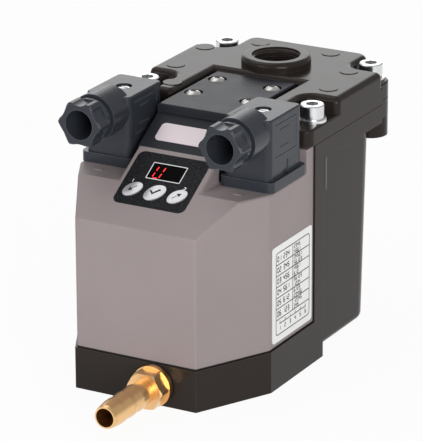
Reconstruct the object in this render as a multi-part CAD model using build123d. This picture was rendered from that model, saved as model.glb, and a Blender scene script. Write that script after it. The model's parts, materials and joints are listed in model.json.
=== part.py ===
from build123d import *
from math import cos, radians, sin, tan
import os

# Automatic condensate drain: a pressure reservoir with a bolted lid, a level probe, a solenoid valve in the
# foot, and electronics under a front cover with two plug connectors. Millimetres. The underside is z = 0, the
# inlet's axis is x = y = 0, and the front, with the display and the outlet, faces -Y.

# ---- Sizes of the body: foot, front plate, tank, flange and lid ----
HALF_WIDTH = 45.4
FOOT_FRONT = -122.0
FOOT_HEIGHT = 18.0
FOOT_CHAMFER_WIDTH = 17.0
FOOT_CHAMFER_DEPTH = 32.9
PLATE_FRONT = -50.7
PLATE_THICKNESS = 7.7
FLANGE_ABOVE_PLATFORM = 10.0
FLANGE_THICKNESS = 8.0

TANK_INSET = 4.1
TANK_REAR = 14.3
TANK_SIDE_DRAFT = 1.3
TANK_REAR_DRAFT = 2.3
TANK_CORNER = 12.0
TANK_EDGE = 3.0
TANK_WALL = 4.5
TANK_FLOOR = 5.0
CHAMBER_SETBACK = 3.0
CHAMBER_FRONT_CORNER = 14.0
RIB_THICKNESS = 3.0
RIB_PITCH = 16.0
RIB_DEPTH = 16.0
RIB_REACH = 14.0

LID_OVERHANG = 5.3
LID_LIP = 7.5
LID_RISE = 14.6
LID_EDGE = 2.6
LIP_EDGE = 1.0
LID_SEAM = 0.35
LID_FRONT_CORNER = 4.0
LID_LUG_INSET = 2.4
LID_LUG_START = 11.0
LID_LUG_SLANT = 3.0
LID_LUG_REAR = 28.0
LID_LUG_CORNER = 9.0
LID_NECK_INSET = 16.4
LID_REAR = 32.0
LID_ROOF = 4.2
NOTCH_DEPTH = 15.4
NOTCH_REACH = 11.4
NOTCH_CORNER = 6.0
ARM_SETBACK = 3.0
ARM_CORNER = 2.6
RECESS_HALF = 21.1
RECESS_REAR = -16.0
RECESS_FLOOR = 5.5
EJECTOR_RADIUS = 4.0
EJECTOR_HEIGHT = 0.25
EJECTOR_PLACES = [(-38.4, 6.6), (-36.9, -21.5), (-26.0, -43.8), (-19.9, 23.0), (13.8, 24.0), (32.4, 4.6), (35.6, -20.3)]

# ---- Inlet, G 1/2 ----
INLET_RADIUS = 10.48
INLET_BOSS_RADIUS = 15.0
INLET_BOSS_RISE = 4.3
INLET_BOSS_EDGE = 2.0
INLET_THREAD = 18.9
INLET_SKIRT_WALL = 3.5

# ---- Seal between reservoir and lid ----
SEAL_OFFSET = 1.2
SEAL_GROOVE_WIDTH = 3.2
SEAL_DEPTH = 2.0
SEAL_SIDE_GAP = 0.3

# ---- Lid screws, M6 socket heads on washers ----
NEAR_SCREW_INSET = 6.2
NEAR_SCREW_SETBACK = 8.8
FAR_SCREW_INSET = 10.4
FAR_SCREW_Y = 20.3
M6_RADIUS = 3.0
M6_LENGTH = 20.0
M6_HEAD_RADIUS = 5.0
M6_HEAD_HEIGHT = 6.0
M6_KEY = 5.0
M6_WASHER_RADIUS = 6.0
M6_WASHER_THICKNESS = 1.2
LUG_RADIUS = 7.5
LUG_DEPTH = 9.0
BOSS_RADIUS = 6.2
BOSS_DEPTH = 14.0

THREAD_GAP = 0.05
HOLE_GAP = 0.25
SLIDE_GAP = 0.1
SEAM = 0.2

# ---- Front cover ----
COVER_INSET = 0.9
COVER_WALL = 2.5
COVER_GASKET = 0.6
COVER_EDGE = 1.2
FOLD_DROP = 11.7
SLOPE_ANGLE = 30.7
RIDGE_HALF = 18.9
RIDGE_RUN = 36.4
PLATFORM_HEIGHT = 85.9
COVER_LIP_SETBACK = 1.0
COVER_LIP_GAP = 0.3
HEAD_OPENING_HALF = 15.6
HEAD_OPENING_LEDGE = 5.0
FRONT_BOSS = (22.0, 10.0)
SIDE_BOSS = (7.9, 9.3)
COVER_BOSS_RADIUS = 3.6
COVER_BOSS_HEIGHT = 16.0
COVER_RIB = 1.8
ARROW_SIZE_SHARE = 0.319
ARROW_RISE = 0.3
ARROW_GAP_SHARE = 0.4277

M3_RADIUS = 1.5
M3_HEAD_RADIUS = 2.75
M3_HEAD_HEIGHT = 3.0
M3_KEY = 2.5
COVER_SCREW_LENGTH = 24.0
COVER_SCREW_SINK = 3.6

# ---- Head block over the lid's recess ----
HEAD_RISE = 13.6
HEAD_STEP_DROP = 3.6
HEAD_STEP_LAP = 0.8
HEAD_REAR = -18.0
HEAD_WALL = 2.6
HEAD_LEG_GAP = 0.3
HEAD_EDGE = 0.8
HEAD_SCREW_X = 13.1
HEAD_SCREW_YS = (-48.7, -28.1)
HEAD_BOSS_RADIUS = 4.0
M4_RADIUS = 2.0
M4_HEAD_RADIUS = 3.8
M4_HEAD_HEIGHT = 2.2
M4_KEY = 2.5
HEAD_SCREW_SINK = 1.2
HEAD_SCREW_BITE = 4.5
NAME_PLATE_WIDTH = 27.8
NAME_PLATE_UP = (46.8, 56.4)
NAME_PLATE_CORNER = 2.0
PLATE_STOCK = 0.5
PLATE_SINK = 0.3

# ---- Display and keys, laid out on the slope: across it, up it and out of it ----
KEYPAD_HALF = 16.7
KEYPAD_UP = (11.7, 40.1)
KEYPAD_CORNER = 3.0
KEYPAD_THICKNESS = 0.5
KEYPAD_SINK = 0.4
WINDOW_HALF = 8.1
WINDOW_UP = (26.4, 35.5)
WINDOW_GAP = 0.05
KEY_UP = 19.6
KEY_PITCH = 10.4
KEY_TURN = 45.0
SIDE_KEY = (4.5, 3.05)
CENTRE_KEY = (5.0, 3.45)
KEY_PROUD = 0.9
KEY_DOME = 0.5
KEY_TRAVEL = 0.5
KEY_FLANGE = 0.8
KEY_FLANGE_THICKNESS = 1.0
KEY_STEM_RADIUS = 1.5
BOARD_DEPTH = 9.5
BOARD_THICKNESS = 1.6
BOARD_HALF = 15.0
BOARD_UP = (8.0, 37.5)
BOARD_SCREW_X = 12.6
BOARD_SCREW_UPS = (11.0, 33.0)
BOARD_PILLAR_RADIUS = 2.4
BOARD_SCREW_RADIUS = 1.1
BOARD_SCREW_HEAD = 2.1
SWITCH_SIZE = 6.0
SWITCH_HEIGHT = 4.0
SWITCH_BORE_DEPTH = 1.6
DISPLAY_SIZE = (15.0, 7.6)
DISPLAY_GAP = 0.2

# ---- Plug connectors: square form with a centre screw and a cable gland ----
PLUG_INSET = 12.7
PLUG_LIP_GAP = 0.4
PLUG_WIDTH = 20.8
PLUG_LENGTH = 27.8
PLUG_CORNER = 2.5
PLUG_HEIGHT = 28.4
PLUG_WALL = 1.8
PLUG_ROOF = 4.1
PLUG_EDGE = 0.8
PLUG_GASKET_WIDTH = 24.6
PLUG_GASKET_LENGTH = 30.2
PLUG_GASKET_HEIGHT = 4.5
PLUG_GASKET_FLOOR = 1.8
PLUG_GASKET_HOLE = (15.0, 19.6)
SOCKET_WIDTH = 17.0
SOCKET_LENGTH = 22.0
SOCKET_RIM_SIDE = 0.6
SOCKET_RIM_END = 1.8
SOCKET_RIM_THICKNESS = 2.0
SOCKET_BODY_INSET = 1.5
SOCKET_BODY_DEPTH = 7.0
SOCKET_GAP = 0.1
SOCKET_POST_RADIUS = 2.6
SOCKET_POST_HEIGHT = 6.0
BLADE_WIDTH = 6.3
BLADE_THICKNESS = 0.8
BLADE_RISE = 9.5
BLADE_TAIL = 5.0
BLADE_OFFSET = 5.5
EARTH_OFFSET = 6.5
INSERT_HEIGHT = 11.4
INSERT_GAP = 0.15
INSERT_SLOT_GAP = 0.3
PLUG_SCREW_RECESS_RADIUS = 3.5
PLUG_SCREW_RECESS_DEPTH = 2.8
PLUG_SCREW_HEAD_RADIUS = 2.9
PLUG_SCREW_HEAD_HEIGHT = 2.1
PLUG_SCREW_BITE = 3.5
FRAME_GROOVE = 0.5
FRAME_GROOVE_DEPTH = 0.35
FRAME_Y = (-9.0, 9.2)
FRAME_DROP = 2.8
FRAME_HEIGHT = 14.1
FRAME_BAR_INSET = 3.7
FRAME_BAR_LENGTH = 8.0
FRAME_BAR_DROPS = (2.7, 10.1)
PRY_SLOT_Y = (-2.9, 2.2)
PRY_SLOT_HEIGHT = 8.6

GLAND_DROP = 6.6
GLAND_RADIUS = 10.0
GLAND_REACH = 11.2
GLAND_BORE = 8.0
GLAND_BORE_DEPTH = 12.6
GLAND_PASSAGE = 5.5
GROMMET_LENGTH = 5.3
GROMMET_HOLE = 4.0
RING_THICKNESS = 1.4
RING_HOLE = 4.8
NUT_CORNER_RADIUS = 10.3
NUT_HEX_LENGTH = 9.8
NUT_HEX_GAP = 1.6
NUT_MOUTH = 6.3
NUT_THROAT = 4.9
NUT_FLUTE_RADIUS = 7.0
NUT_FLUTE_FLOOR = 8.2
NUT_COLLAR_LENGTH = 2.0
NUT_COLLAR_RADIUS = 9.0
NUT_EDGE = 0.6

# ---- Outlet ----
OUTLET_X = 9.3
OUTLET_Z = 9.0
PORT_RADIUS = 6.58
PORT_DEPTH = 12.0
SPIGOT_LENGTH = 11.0
WASHER_RADIUS = 8.0
WASHER_THICKNESS = 0.8
COLLAR_RADIUS = 8.8
COLLAR_LENGTH = 2.3
OUTLET_HEX = 15.0
OUTLET_HEX_LENGTH = 6.2
TAIL_LENGTH = 40.0
TAIL_ROOT = 5.05
TAIL_CREST = 5.6
TAIL_BORE = 4.0
BARB_COUNT = 3
BARB_PITCH = 7.6
BARB_LAND = 2.2
TAIL_NOSE = 1.4

# ---- Solenoid valve ----
VALVE_SETBACK = 36.0
VALVE_RECESS_RADIUS = 11.0
VALVE_RECESS_DEPTH = 2.0
VALVE_WELL_RADIUS = 8.0
VALVE_WELL_DEPTH = 3.0
OUTLET_DUCT = 2.5
INLET_DUCT = 2.0
INLET_DUCT_OFFSET = 5.5
SEAT_RADIUS = 4.0
SEAT_STEM_RADIUS = 3.0
SEAT_STEM = 1.2
SEAT_FLANGE = 1.2
SEAT_NOSE_RADIUS = 2.3
SEAT_NOSE = 0.8
SEAT_ORIFICE = 1.5
BONNET_HALF_X = 24.5
BONNET_HALF_Y = 14.0
BONNET_THICKNESS = 5.0
BONNET_CORNER = 3.0
BONNET_SCREW_X = 20.0
BONNET_SCREW_Y = 9.5
BONNET_SCREW_BITE = 9.0
CORE_RADIUS = 5.65
CORE_WALL = 1.0
CORE_FLANGE_RADIUS = 8.6
CORE_STOP = 46.0
CORE_END = 8.0
CORE_STUD_RADIUS = 3.0
CORE_STUD_LENGTH = 6.5
PLUNGER_HEADROOM = 2.0
PLUNGER_TRAVEL = 1.8
PLUNGER_GROOVE = 0.8
SEAL_DISC_RADIUS = 3.3
SEAL_DISC_THICKNESS = 2.0
SEAL_DISC_PROUD = 0.3
SPRING_POCKET_RADIUS = 2.8
SPRING_POCKET_DEPTH = 8.0
SPRING_WIRE = 0.3
SPRING_RADIUS = 2.15
SPRING_TURNS = 6
COIL_HALF = 14.0
COIL_CORNER = 2.5
YOKE_STOCK = 1.6
YOKE_HALF = 10.0
COIL_NUT_HEX = 17.0
COIL_NUT_HEIGHT = 4.0

# ---- Level probe and strainer ----
PROBE_Y = -28.0
PROBE_RADIUS = 5.0
PROBE_TIP = 14.0
PROBE_FLANGE_RADIUS = 8.4
PROBE_FLANGE_THICKNESS = 2.0
PROBE_NECK_RADIUS = 6.6
PROBE_NECK_LENGTH = 8.0
PROBE_SEAL_WIRE = 0.9
STRAINER_RADIUS = 3.7
STRAINER_WALL = 0.8
STRAINER_LENGTH = 8.0
STRAINER_SLOT = 1.0

# ---- Rating plate ----
RATING_FRONT_GAP = 2.3
RATING_REAR_GAP = 1.5
RATING_RISE = 1.6
RATING_HEIGHT = 41.9
RATING_CORNER = 1.5
RATING_STOCK = 0.3

# ---- Heights and places that follow from the sizes ----
FLANGE_TOP = PLATFORM_HEIGHT + FLANGE_ABOVE_PLATFORM
FOLD_HEIGHT = PLATFORM_HEIGHT - FOLD_DROP
HEAD_TOP = FLANGE_TOP + HEAD_RISE
HEAD_STEP = HEAD_TOP - HEAD_STEP_DROP
TANK_HALF = HALF_WIDTH - TANK_INSET
LID_LUG_HALF = HALF_WIDTH - LID_LUG_INSET
LID_NECK_HALF = HALF_WIDTH - LID_NECK_INSET
LID_LIP_TOP = FLANGE_TOP + LID_LIP
LID_TOP = FLANGE_TOP + LID_RISE
RECESS_TOP = FLANGE_TOP + RECESS_FLOOR
BOSS_TOP = LID_TOP + INLET_BOSS_RISE
PLATE_REAR = PLATE_FRONT + PLATE_THICKNESS
CHAMBER_FRONT = PLATE_REAR + CHAMBER_SETBACK
LID_FRONT = PLATE_FRONT - LID_OVERHANG
ARM_FRONT = LID_FRONT + ARM_SETBACK
NEAR_SCREW = (HALF_WIDTH - NEAR_SCREW_INSET, PLATE_FRONT + NEAR_SCREW_SETBACK)
FAR_SCREW = (HALF_WIDTH - FAR_SCREW_INSET, FAR_SCREW_Y)
NOTCH_REAR = NEAR_SCREW[1] + NOTCH_REACH
FLANGE_BOTTOM = FLANGE_TOP - FLANGE_THICKNESS
COVER_BOTTOM = FOOT_HEIGHT + COVER_GASKET
COVER_FRONT = FOOT_FRONT + COVER_INSET
COVER_REAR = PLATE_FRONT - SEAM
COVER_LIP_TOP = FLANGE_TOP - COVER_LIP_GAP
COVER_LIP_FRONT = LID_FRONT - COVER_LIP_SETBACK
COVER_SCREW_PLACES = [
    (FRONT_BOSS[0], FOOT_FRONT + FRONT_BOSS[1]),
    (HALF_WIDTH - SIDE_BOSS[0], PLATE_FRONT - SIDE_BOSS[1]),
]
RIDGE_REAR = COVER_FRONT + RIDGE_RUN
SLOPE_END = COVER_FRONT + (HEAD_STEP - FOLD_HEIGHT) / tan(radians(SLOPE_ANGLE))
HEAD_STEP_FRONT = SLOPE_END - HEAD_STEP_LAP
HEAD_LEG_REAR = COVER_LIP_FRONT - HEAD_LEG_GAP
HEAD_OPENING_REAR = COVER_LIP_FRONT - HEAD_OPENING_LEDGE
PLUG_BOTTOM = PLATFORM_HEIGHT + PLUG_GASKET_FLOOR
PLUG_TOP = PLUG_BOTTOM + PLUG_HEIGHT
PLUG_X = HALF_WIDTH - PLUG_INSET
PLUG_Y = COVER_LIP_FRONT - PLUG_LIP_GAP - PLUG_GASKET_LENGTH / 2
PLATFORM_FRONT = COVER_FRONT + FOLD_DROP / tan(radians(SLOPE_ANGLE))
ARROW_ROOM = PLUG_Y - PLUG_GASKET_LENGTH / 2 - PLATFORM_FRONT
ARROW_SIZE = ARROW_SIZE_SHARE * ARROW_ROOM
ARROW_Y = PLATFORM_FRONT + (1 - ARROW_GAP_SHARE) * ARROW_ROOM
GLAND_Z = PLUG_TOP - GLAND_DROP
FRAME_Z = (PLUG_TOP - FRAME_DROP - FRAME_HEIGHT, PLUG_TOP - FRAME_DROP)
PLUG_FRONT = PLUG_Y - PLUG_LENGTH / 2
GLAND_FRONT = PLUG_FRONT - GLAND_REACH
GLAND_FLOOR = GLAND_FRONT + GLAND_BORE_DEPTH
VALVE_Y = FOOT_FRONT + VALVE_SETBACK
TAIL_END = FOOT_FRONT - TAIL_LENGTH
RATING_Y = (FOOT_FRONT + FOOT_CHAMFER_DEPTH + RATING_FRONT_GAP, COVER_REAR - RATING_REAR_GAP)
RATING_Z = (COVER_BOTTOM + RATING_RISE, COVER_BOTTOM + RATING_RISE + RATING_HEIGHT)
VALVE_WELL_FLOOR = FOOT_HEIGHT - VALVE_RECESS_DEPTH - VALVE_WELL_DEPTH
SEAT_TOP = VALVE_WELL_FLOOR + SEAT_FLANGE + SEAT_NOSE
PLUNGER_TOP = CORE_STOP - PLUNGER_HEADROOM
CORE_TOP = CORE_STOP + CORE_END
BONNET_TOP = FOOT_HEIGHT + BONNET_THICKNESS
COIL_BOTTOM = BONNET_TOP + YOKE_STOCK
COIL_TOP = CORE_TOP - 1.0
YOKE_TOP = COIL_TOP + YOKE_STOCK
SLOPE = Plane(
    origin=(0, COVER_FRONT, FOLD_HEIGHT),
    x_dir=(1, 0, 0),
    z_dir=(0, -sin(radians(SLOPE_ANGLE)), cos(radians(SLOPE_ANGLE))),
)
SIDES = (-1, 1)


# ---- Shapes used by many pieces ----
def block(x, y, z):
    """Box between the low and high values along each axis."""
    spans = (x, y, z)
    return Pos(*[(low + high) / 2 for low, high in spans]) * Box(*[high - low for low, high in spans])


def post(radius, z, x=0.0, y=0.0):
    """Upright cylinder between two heights."""
    return Pos(x, y, (z[0] + z[1]) / 2) * Cylinder(radius, z[1] - z[0])


def bar(radius, y, x=0.0, z=0.0):
    """Cylinder along Y between two places."""
    return Pos(x, (y[0] + y[1]) / 2, z) * Rot(90, 0, 0) * Cylinder(radius, y[1] - y[0])


def rise(face, z):
    """Flat outline carried up from z[0] to z[1]."""
    return Pos(0, 0, z[0]) * extrude(face, z[1] - z[0], dir=(0, 0, 1))


def tile(width, length, corner, z, x=0.0, y=0.0):
    """Upright block with rounded corners."""
    return Pos(x, y, 0) * rise(RectangleRounded(width, length, corner), z)


def mirrored_face(right_side):
    """Outline that is symmetric about x = 0, from the corners of its right side."""
    left_side = [(-x, y) for x, y in reversed(right_side)]
    return make_face(Polyline(*right_side, *left_side, close=True))


def round_at(face, places, radius):
    """Rounds the corners at these places and at their mirror images."""
    picked = [
        vertex
        for vertex in face.vertices()
        if any(abs(abs(vertex.X) - x) < 1e-4 and abs(vertex.Y - y) < 1e-4 for x, y in places)
    ]
    return fillet(picked, radius)


def side_slab(profile, half_width):
    """Outline in Y and Z carried across X."""
    return extrude(make_face(Plane.YZ * Polyline(*profile, close=True)), half_width, both=True)


def on_slope(shape, across=0.0, up=0.0, out=0.0):
    """Puts a shape modelled on XY onto the cover's slope."""
    return SLOPE.location * Pos(across, up, out) * shape


def slope_tile(half_width, up, corner, out):
    """Plate with rounded corners on the slope, between two levels out of it."""
    sketch = RectangleRounded(2 * half_width, up[1] - up[0], corner)
    return on_slope(Pos(0, (up[0] + up[1]) / 2, 0) * rise(sketch, out))


def slope_post(radius, out, across, up):
    """Cylinder square to the slope."""
    return on_slope(post(radius, out), across, up)


def hex_socket(key, depth):
    """Hexagon recess hanging down from z = 0."""
    return rise(RegularPolygon(key / 2, 6, major_radius=False), (-depth, 0))


def cap_screw(radius, length, head_radius, head_height, key):
    """Cylinder-head screw with the head's seat on z = 0."""
    head = post(head_radius, (0, head_height))
    head = chamfer(head.edges().sort_by(Axis.Z)[-1], head_radius * 0.08)
    return head + post(radius, (-length, 0)) - Pos(0, 0, head_height) * hex_socket(key, head_height / 2)


def button_screw(radius, length, head_radius, head_height, key):
    """Dome-head screw with the head's seat on z = 0."""
    ball = (head_radius**2 + head_height**2) / (2 * head_height)
    dome = (Pos(0, 0, head_height - ball) * Sphere(ball)) & post(head_radius, (0, head_height))
    return dome + post(radius, (-length, 0)) - Pos(0, 0, head_height) * hex_socket(key, head_height * 0.6)


def lid_screw_places():
    return [(side * x, y) for x, y in (NEAR_SCREW, FAR_SCREW) for side in SIDES]


def head_screw_places():
    return [(side * HEAD_SCREW_X, y) for y in HEAD_SCREW_YS for side in SIDES]


def cover_screw_places():
    return [(side * x, y) for x, y in COVER_SCREW_PLACES for side in SIDES]


def bonnet_screw_places():
    return [(OUTLET_X + i * BONNET_SCREW_X, VALVE_Y + j * BONNET_SCREW_Y) for i in SIDES for j in SIDES]


def board_screw_places():
    return [(side * BOARD_SCREW_X, up) for up in BOARD_SCREW_UPS for side in SIDES]


def key_places():
    return {
        "left_key": (-KEY_PITCH, SIDE_KEY),
        "centre_key": (0.0, CENTRE_KEY),
        "right_key": (KEY_PITCH, SIDE_KEY),
    }


def key_post(halves, grow, out):
    """Oval post of a key, slanted on its face and grown by a gap, between two levels."""
    long, short = halves
    return rise(Rot(0, 0, KEY_TURN) * Ellipse(long + grow, short + grow), out)


# ---- Reservoir ----
def foot_face(inset, rear):
    """Plan of the foot, drawn in by an inset on its outside."""
    chamfer_start = FOOT_FRONT + FOOT_CHAMFER_DEPTH
    front_half = HALF_WIDTH - FOOT_CHAMFER_WIDTH
    face = mirrored_face([(front_half, FOOT_FRONT), (HALF_WIDTH, chamfer_start), (HALF_WIDTH, rear + inset)])
    return offset(face, -inset, kind=Kind.INTERSECTION) if inset else face


def tank_section(z, inset, front, front_corner):
    """Plan of the tank at a height, drawn in by an inset: the walls lean in towards the bottom."""
    drop = 1 - z / FLANGE_TOP
    half = TANK_HALF - TANK_SIDE_DRAFT * drop - inset
    rear = TANK_REAR - TANK_REAR_DRAFT * drop - inset
    face = round_at(mirrored_face([(half, front), (half, rear)]), [(half, rear)], TANK_CORNER - inset)
    if front_corner:
        face = round_at(face, [(half, front)], front_corner)
    return face


def tank_form(z, inset, front, front_corner):
    """Leaning block between two heights, with the tank's plan at each."""
    return loft([Pos(0, 0, height) * tank_section(height, inset, front, front_corner) for height in z])


def chamber_mouth(grow):
    """Outline of the chamber at the flange, grown outwards."""
    return offset(tank_section(FLANGE_TOP, TANK_WALL, CHAMBER_FRONT, CHAMBER_FRONT_CORNER), grow)


def lid_face():
    """Plan of the lid's lip, which the flange repeats behind the front plate."""
    lug_slant_end = LID_LUG_START + LID_LUG_SLANT
    face = mirrored_face(
        [
            (HALF_WIDTH, LID_FRONT),
            (HALF_WIDTH, LID_LUG_START),
            (LID_LUG_HALF, lug_slant_end),
            (LID_LUG_HALF, LID_LUG_REAR),
            (LID_NECK_HALF, LID_LUG_REAR),
            (LID_NECK_HALF, LID_REAR),
        ]
    )
    face = round_at(face, [(HALF_WIDTH, LID_FRONT)], LID_FRONT_CORNER)
    face = round_at(face, [(LID_LUG_HALF, LID_LUG_REAR)], LID_LUG_CORNER)
    return round_at(face, [(LID_NECK_HALF, LID_LUG_REAR), (LID_NECK_HALF, LID_REAR)], ARM_CORNER / 2)


def rear_rib(x):
    """Web between the tank's rear wall and the flange that overhangs it."""
    wall = TANK_REAR - TANK_CORNER / 2
    profile = [
        (wall, FLANGE_BOTTOM + RIB_THICKNESS),
        (wall, FLANGE_BOTTOM - RIB_DEPTH),
        (TANK_REAR, FLANGE_BOTTOM - RIB_DEPTH),
        (TANK_REAR + RIB_REACH, FLANGE_BOTTOM - RIB_THICKNESS / 2),
        (TANK_REAR + RIB_REACH, FLANGE_BOTTOM + RIB_THICKNESS),
    ]
    return Pos(x, 0, 0) * side_slab(profile, RIB_THICKNESS / 2)


def reservoir():
    foot = rise(foot_face(0, PLATE_REAR), (0, FOOT_HEIGHT))
    plate = block((-HALF_WIDTH, HALF_WIDTH), (PLATE_FRONT, PLATE_REAR), (0, FLANGE_TOP))
    tank = tank_form((0, FLANGE_TOP), 0, PLATE_REAR - PLATE_THICKNESS / 2, 0)
    rim = [edge for edge in tank.edges() if edge.center().Z < 0.01 and edge.center().Y > PLATE_REAR]
    tank = fillet(rim, TANK_EDGE)
    behind = block((-HALF_WIDTH, HALF_WIDTH), (PLATE_FRONT, LID_REAR), (FLANGE_BOTTOM, FLANGE_TOP))
    flange = rise(lid_face(), (FLANGE_BOTTOM, FLANGE_TOP)) & behind
    body = foot + plate + tank + flange
    for side in SIDES:
        body += post(LUG_RADIUS, (FLANGE_BOTTOM - LUG_DEPTH, FLANGE_TOP), side * FAR_SCREW[0], FAR_SCREW[1])
        body += post(BOSS_RADIUS, (FLANGE_BOTTOM - BOSS_DEPTH, FLANGE_TOP), side * NEAR_SCREW[0], NEAR_SCREW[1])
    for i in (-1, 0, 1):
        body += rear_rib(i * RIB_PITCH)
    body -= tank_form((TANK_FLOOR, FLANGE_TOP), TANK_WALL, CHAMBER_FRONT, CHAMBER_FRONT_CORNER)
    groove = (FLANGE_TOP - SEAL_DEPTH, FLANGE_TOP)
    body -= rise(chamber_mouth(SEAL_OFFSET + SEAL_GROOVE_WIDTH) - chamber_mouth(SEAL_OFFSET), groove)
    for x, y in lid_screw_places():
        bottom = LID_LIP_TOP + M6_WASHER_THICKNESS - M6_LENGTH - 1.0
        body -= post(M6_RADIUS + THREAD_GAP, (bottom, FLANGE_TOP), x, y)
    return body - foot_cuts()


def foot_cuts():
    """Valve recess, ducts, outlet port and screw holes in the foot."""
    well_top = FOOT_HEIGHT - VALVE_RECESS_DEPTH
    riser_y = VALVE_Y + INLET_DUCT_OFFSET
    cuts = post(VALVE_RECESS_RADIUS, (well_top, FOOT_HEIGHT), OUTLET_X, VALVE_Y)
    cuts += post(VALVE_WELL_RADIUS, (VALVE_WELL_FLOOR, well_top), OUTLET_X, VALVE_Y)
    seat_hole = (VALVE_WELL_FLOOR - SEAT_STEM, VALVE_WELL_FLOOR)
    cuts += post(SEAT_STEM_RADIUS + THREAD_GAP, seat_hole, OUTLET_X, VALVE_Y)
    cuts += post(SEAT_ORIFICE, (OUTLET_Z, VALVE_WELL_FLOOR), OUTLET_X, VALVE_Y)
    cuts += bar(OUTLET_DUCT, (FOOT_FRONT + PORT_DEPTH, VALVE_Y + SEAT_ORIFICE), OUTLET_X, OUTLET_Z)
    cuts += bar(PORT_RADIUS, (FOOT_FRONT, FOOT_FRONT + PORT_DEPTH), OUTLET_X, OUTLET_Z)
    cuts += post(INLET_DUCT, (OUTLET_Z, VALVE_WELL_FLOOR), OUTLET_X, riser_y)
    cuts += bar(INLET_DUCT, (riser_y, CHAMBER_FRONT), OUTLET_X, OUTLET_Z)
    for x, y in cover_screw_places():
        cuts += post(M3_HEAD_RADIUS + HOLE_GAP, (0, COVER_SCREW_SINK), x, y)
        cuts += post(M3_RADIUS + HOLE_GAP, (0, FOOT_HEIGHT), x, y)
    for x, y in bonnet_screw_places():
        cuts += post(M4_RADIUS + THREAD_GAP, (FOOT_HEIGHT - BONNET_SCREW_BITE - 1.0, FOOT_HEIGHT), x, y)
    return cuts


# ---- Lid ----
def plateau_face():
    """Plan of the raised top: two arms round the recess, and a notch at each screw."""
    neck = LID_NECK_HALF
    arm = HALF_WIDTH - NOTCH_DEPTH
    arm_corner = min(ARM_CORNER, (arm - RECESS_HALF) / 2 - SEAM)
    face = mirrored_face(
        [
            (RECESS_HALF, RECESS_REAR),
            (RECESS_HALF, ARM_FRONT),
            (arm, ARM_FRONT),
            (arm, NOTCH_REAR),
            (HALF_WIDTH, NOTCH_REAR),
            (HALF_WIDTH, LID_LUG_START),
            (neck, LID_LUG_START),
            (neck, LID_REAR),
        ]
    )
    face = round_at(face, [(arm, NOTCH_REAR), (neck, LID_LUG_START)], NOTCH_CORNER)
    corners = [(RECESS_HALF, ARM_FRONT), (arm, ARM_FRONT), (HALF_WIDTH, NOTCH_REAR), (HALF_WIDTH, LID_LUG_START)]
    face = round_at(face, corners, arm_corner)
    return round_at(face, [(neck, LID_REAR)], ARM_CORNER + LID_EDGE)


def reservoir_lid():
    lip = rise(lid_face(), (FLANGE_TOP, LID_LIP_TOP))
    lip = fillet(lip.faces().sort_by(Axis.Z)[-1].edges(), LIP_EDGE)
    plateau = rise(plateau_face(), (FLANGE_TOP, LID_TOP))
    plateau = fillet(plateau.faces().sort_by(Axis.Z)[-1].edges(), LID_EDGE)
    recess = block((-RECESS_HALF, RECESS_HALF), (LID_FRONT, RECESS_REAR), (RECESS_TOP, LID_TOP))
    boss = post(INLET_BOSS_RADIUS, (LID_LIP_TOP, BOSS_TOP))
    boss = fillet(boss.edges().sort_by(Axis.Z)[-1], INLET_BOSS_EDGE)
    lid = lip - recess + plateau + boss
    for x, y in EJECTOR_PLACES:
        lid += post(EJECTOR_RADIUS, (LID_LIP_TOP, LID_TOP + EJECTOR_HEIGHT), x, y)
    hollow = rise(chamber_mouth(0), (FLANGE_TOP, LID_TOP - LID_ROOF))
    hollow &= block((-HALF_WIDTH, HALF_WIDTH), (RECESS_REAR + LID_ROOF, LID_REAR), (FLANGE_TOP, LID_TOP))
    skirt_bottom = BOSS_TOP - INLET_THREAD
    hollow -= post(INLET_RADIUS + INLET_SKIRT_WALL, (skirt_bottom, LID_TOP))
    lid -= hollow
    lid -= rise(lid_face() - offset(lid_face(), -LID_SEAM), (FLANGE_TOP, FLANGE_TOP + LID_SEAM))
    lid -= post(INLET_RADIUS, (FLANGE_TOP, BOSS_TOP))
    for x, y in lid_screw_places():
        lid -= post(M6_RADIUS + HOLE_GAP, (FLANGE_TOP, LID_LIP_TOP), x, y)
    for x, y in head_screw_places():
        lid -= post(M4_RADIUS + THREAD_GAP, (RECESS_TOP - HEAD_SCREW_BITE - 0.3, RECESS_TOP), x, y)
    lid -= post(PROBE_NECK_RADIUS + SLIDE_GAP, (FLANGE_TOP, RECESS_TOP), 0, PROBE_Y)
    counterbore = (RECESS_TOP - PROBE_FLANGE_THICKNESS, RECESS_TOP)
    return lid - post(PROBE_FLANGE_RADIUS + SLIDE_GAP, counterbore, 0, PROBE_Y)


def lid_seal():
    outer = chamber_mouth(SEAL_OFFSET + SEAL_GROOVE_WIDTH - SEAL_SIDE_GAP)
    return rise(outer - chamber_mouth(SEAL_OFFSET + SEAL_SIDE_GAP), (FLANGE_TOP - SEAL_DEPTH, FLANGE_TOP))


def lid_screws():
    seat = LID_LIP_TOP + M6_WASHER_THICKNESS
    screw = cap_screw(M6_RADIUS, M6_LENGTH, M6_HEAD_RADIUS, M6_HEAD_HEIGHT, M6_KEY)
    return Part() + [Pos(x, y, seat) * screw for x, y in lid_screw_places()]


def lid_washers():
    span = (LID_LIP_TOP, LID_LIP_TOP + M6_WASHER_THICKNESS)
    washer = post(M6_WASHER_RADIUS, span) - post(M6_RADIUS + HOLE_GAP, span)
    return Part() + [Pos(x, y, 0) * washer for x, y in lid_screw_places()]


# ---- Head block ----
def slope_height(y):
    return FOLD_HEIGHT + (y - COVER_FRONT) * tan(radians(SLOPE_ANGLE))


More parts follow.
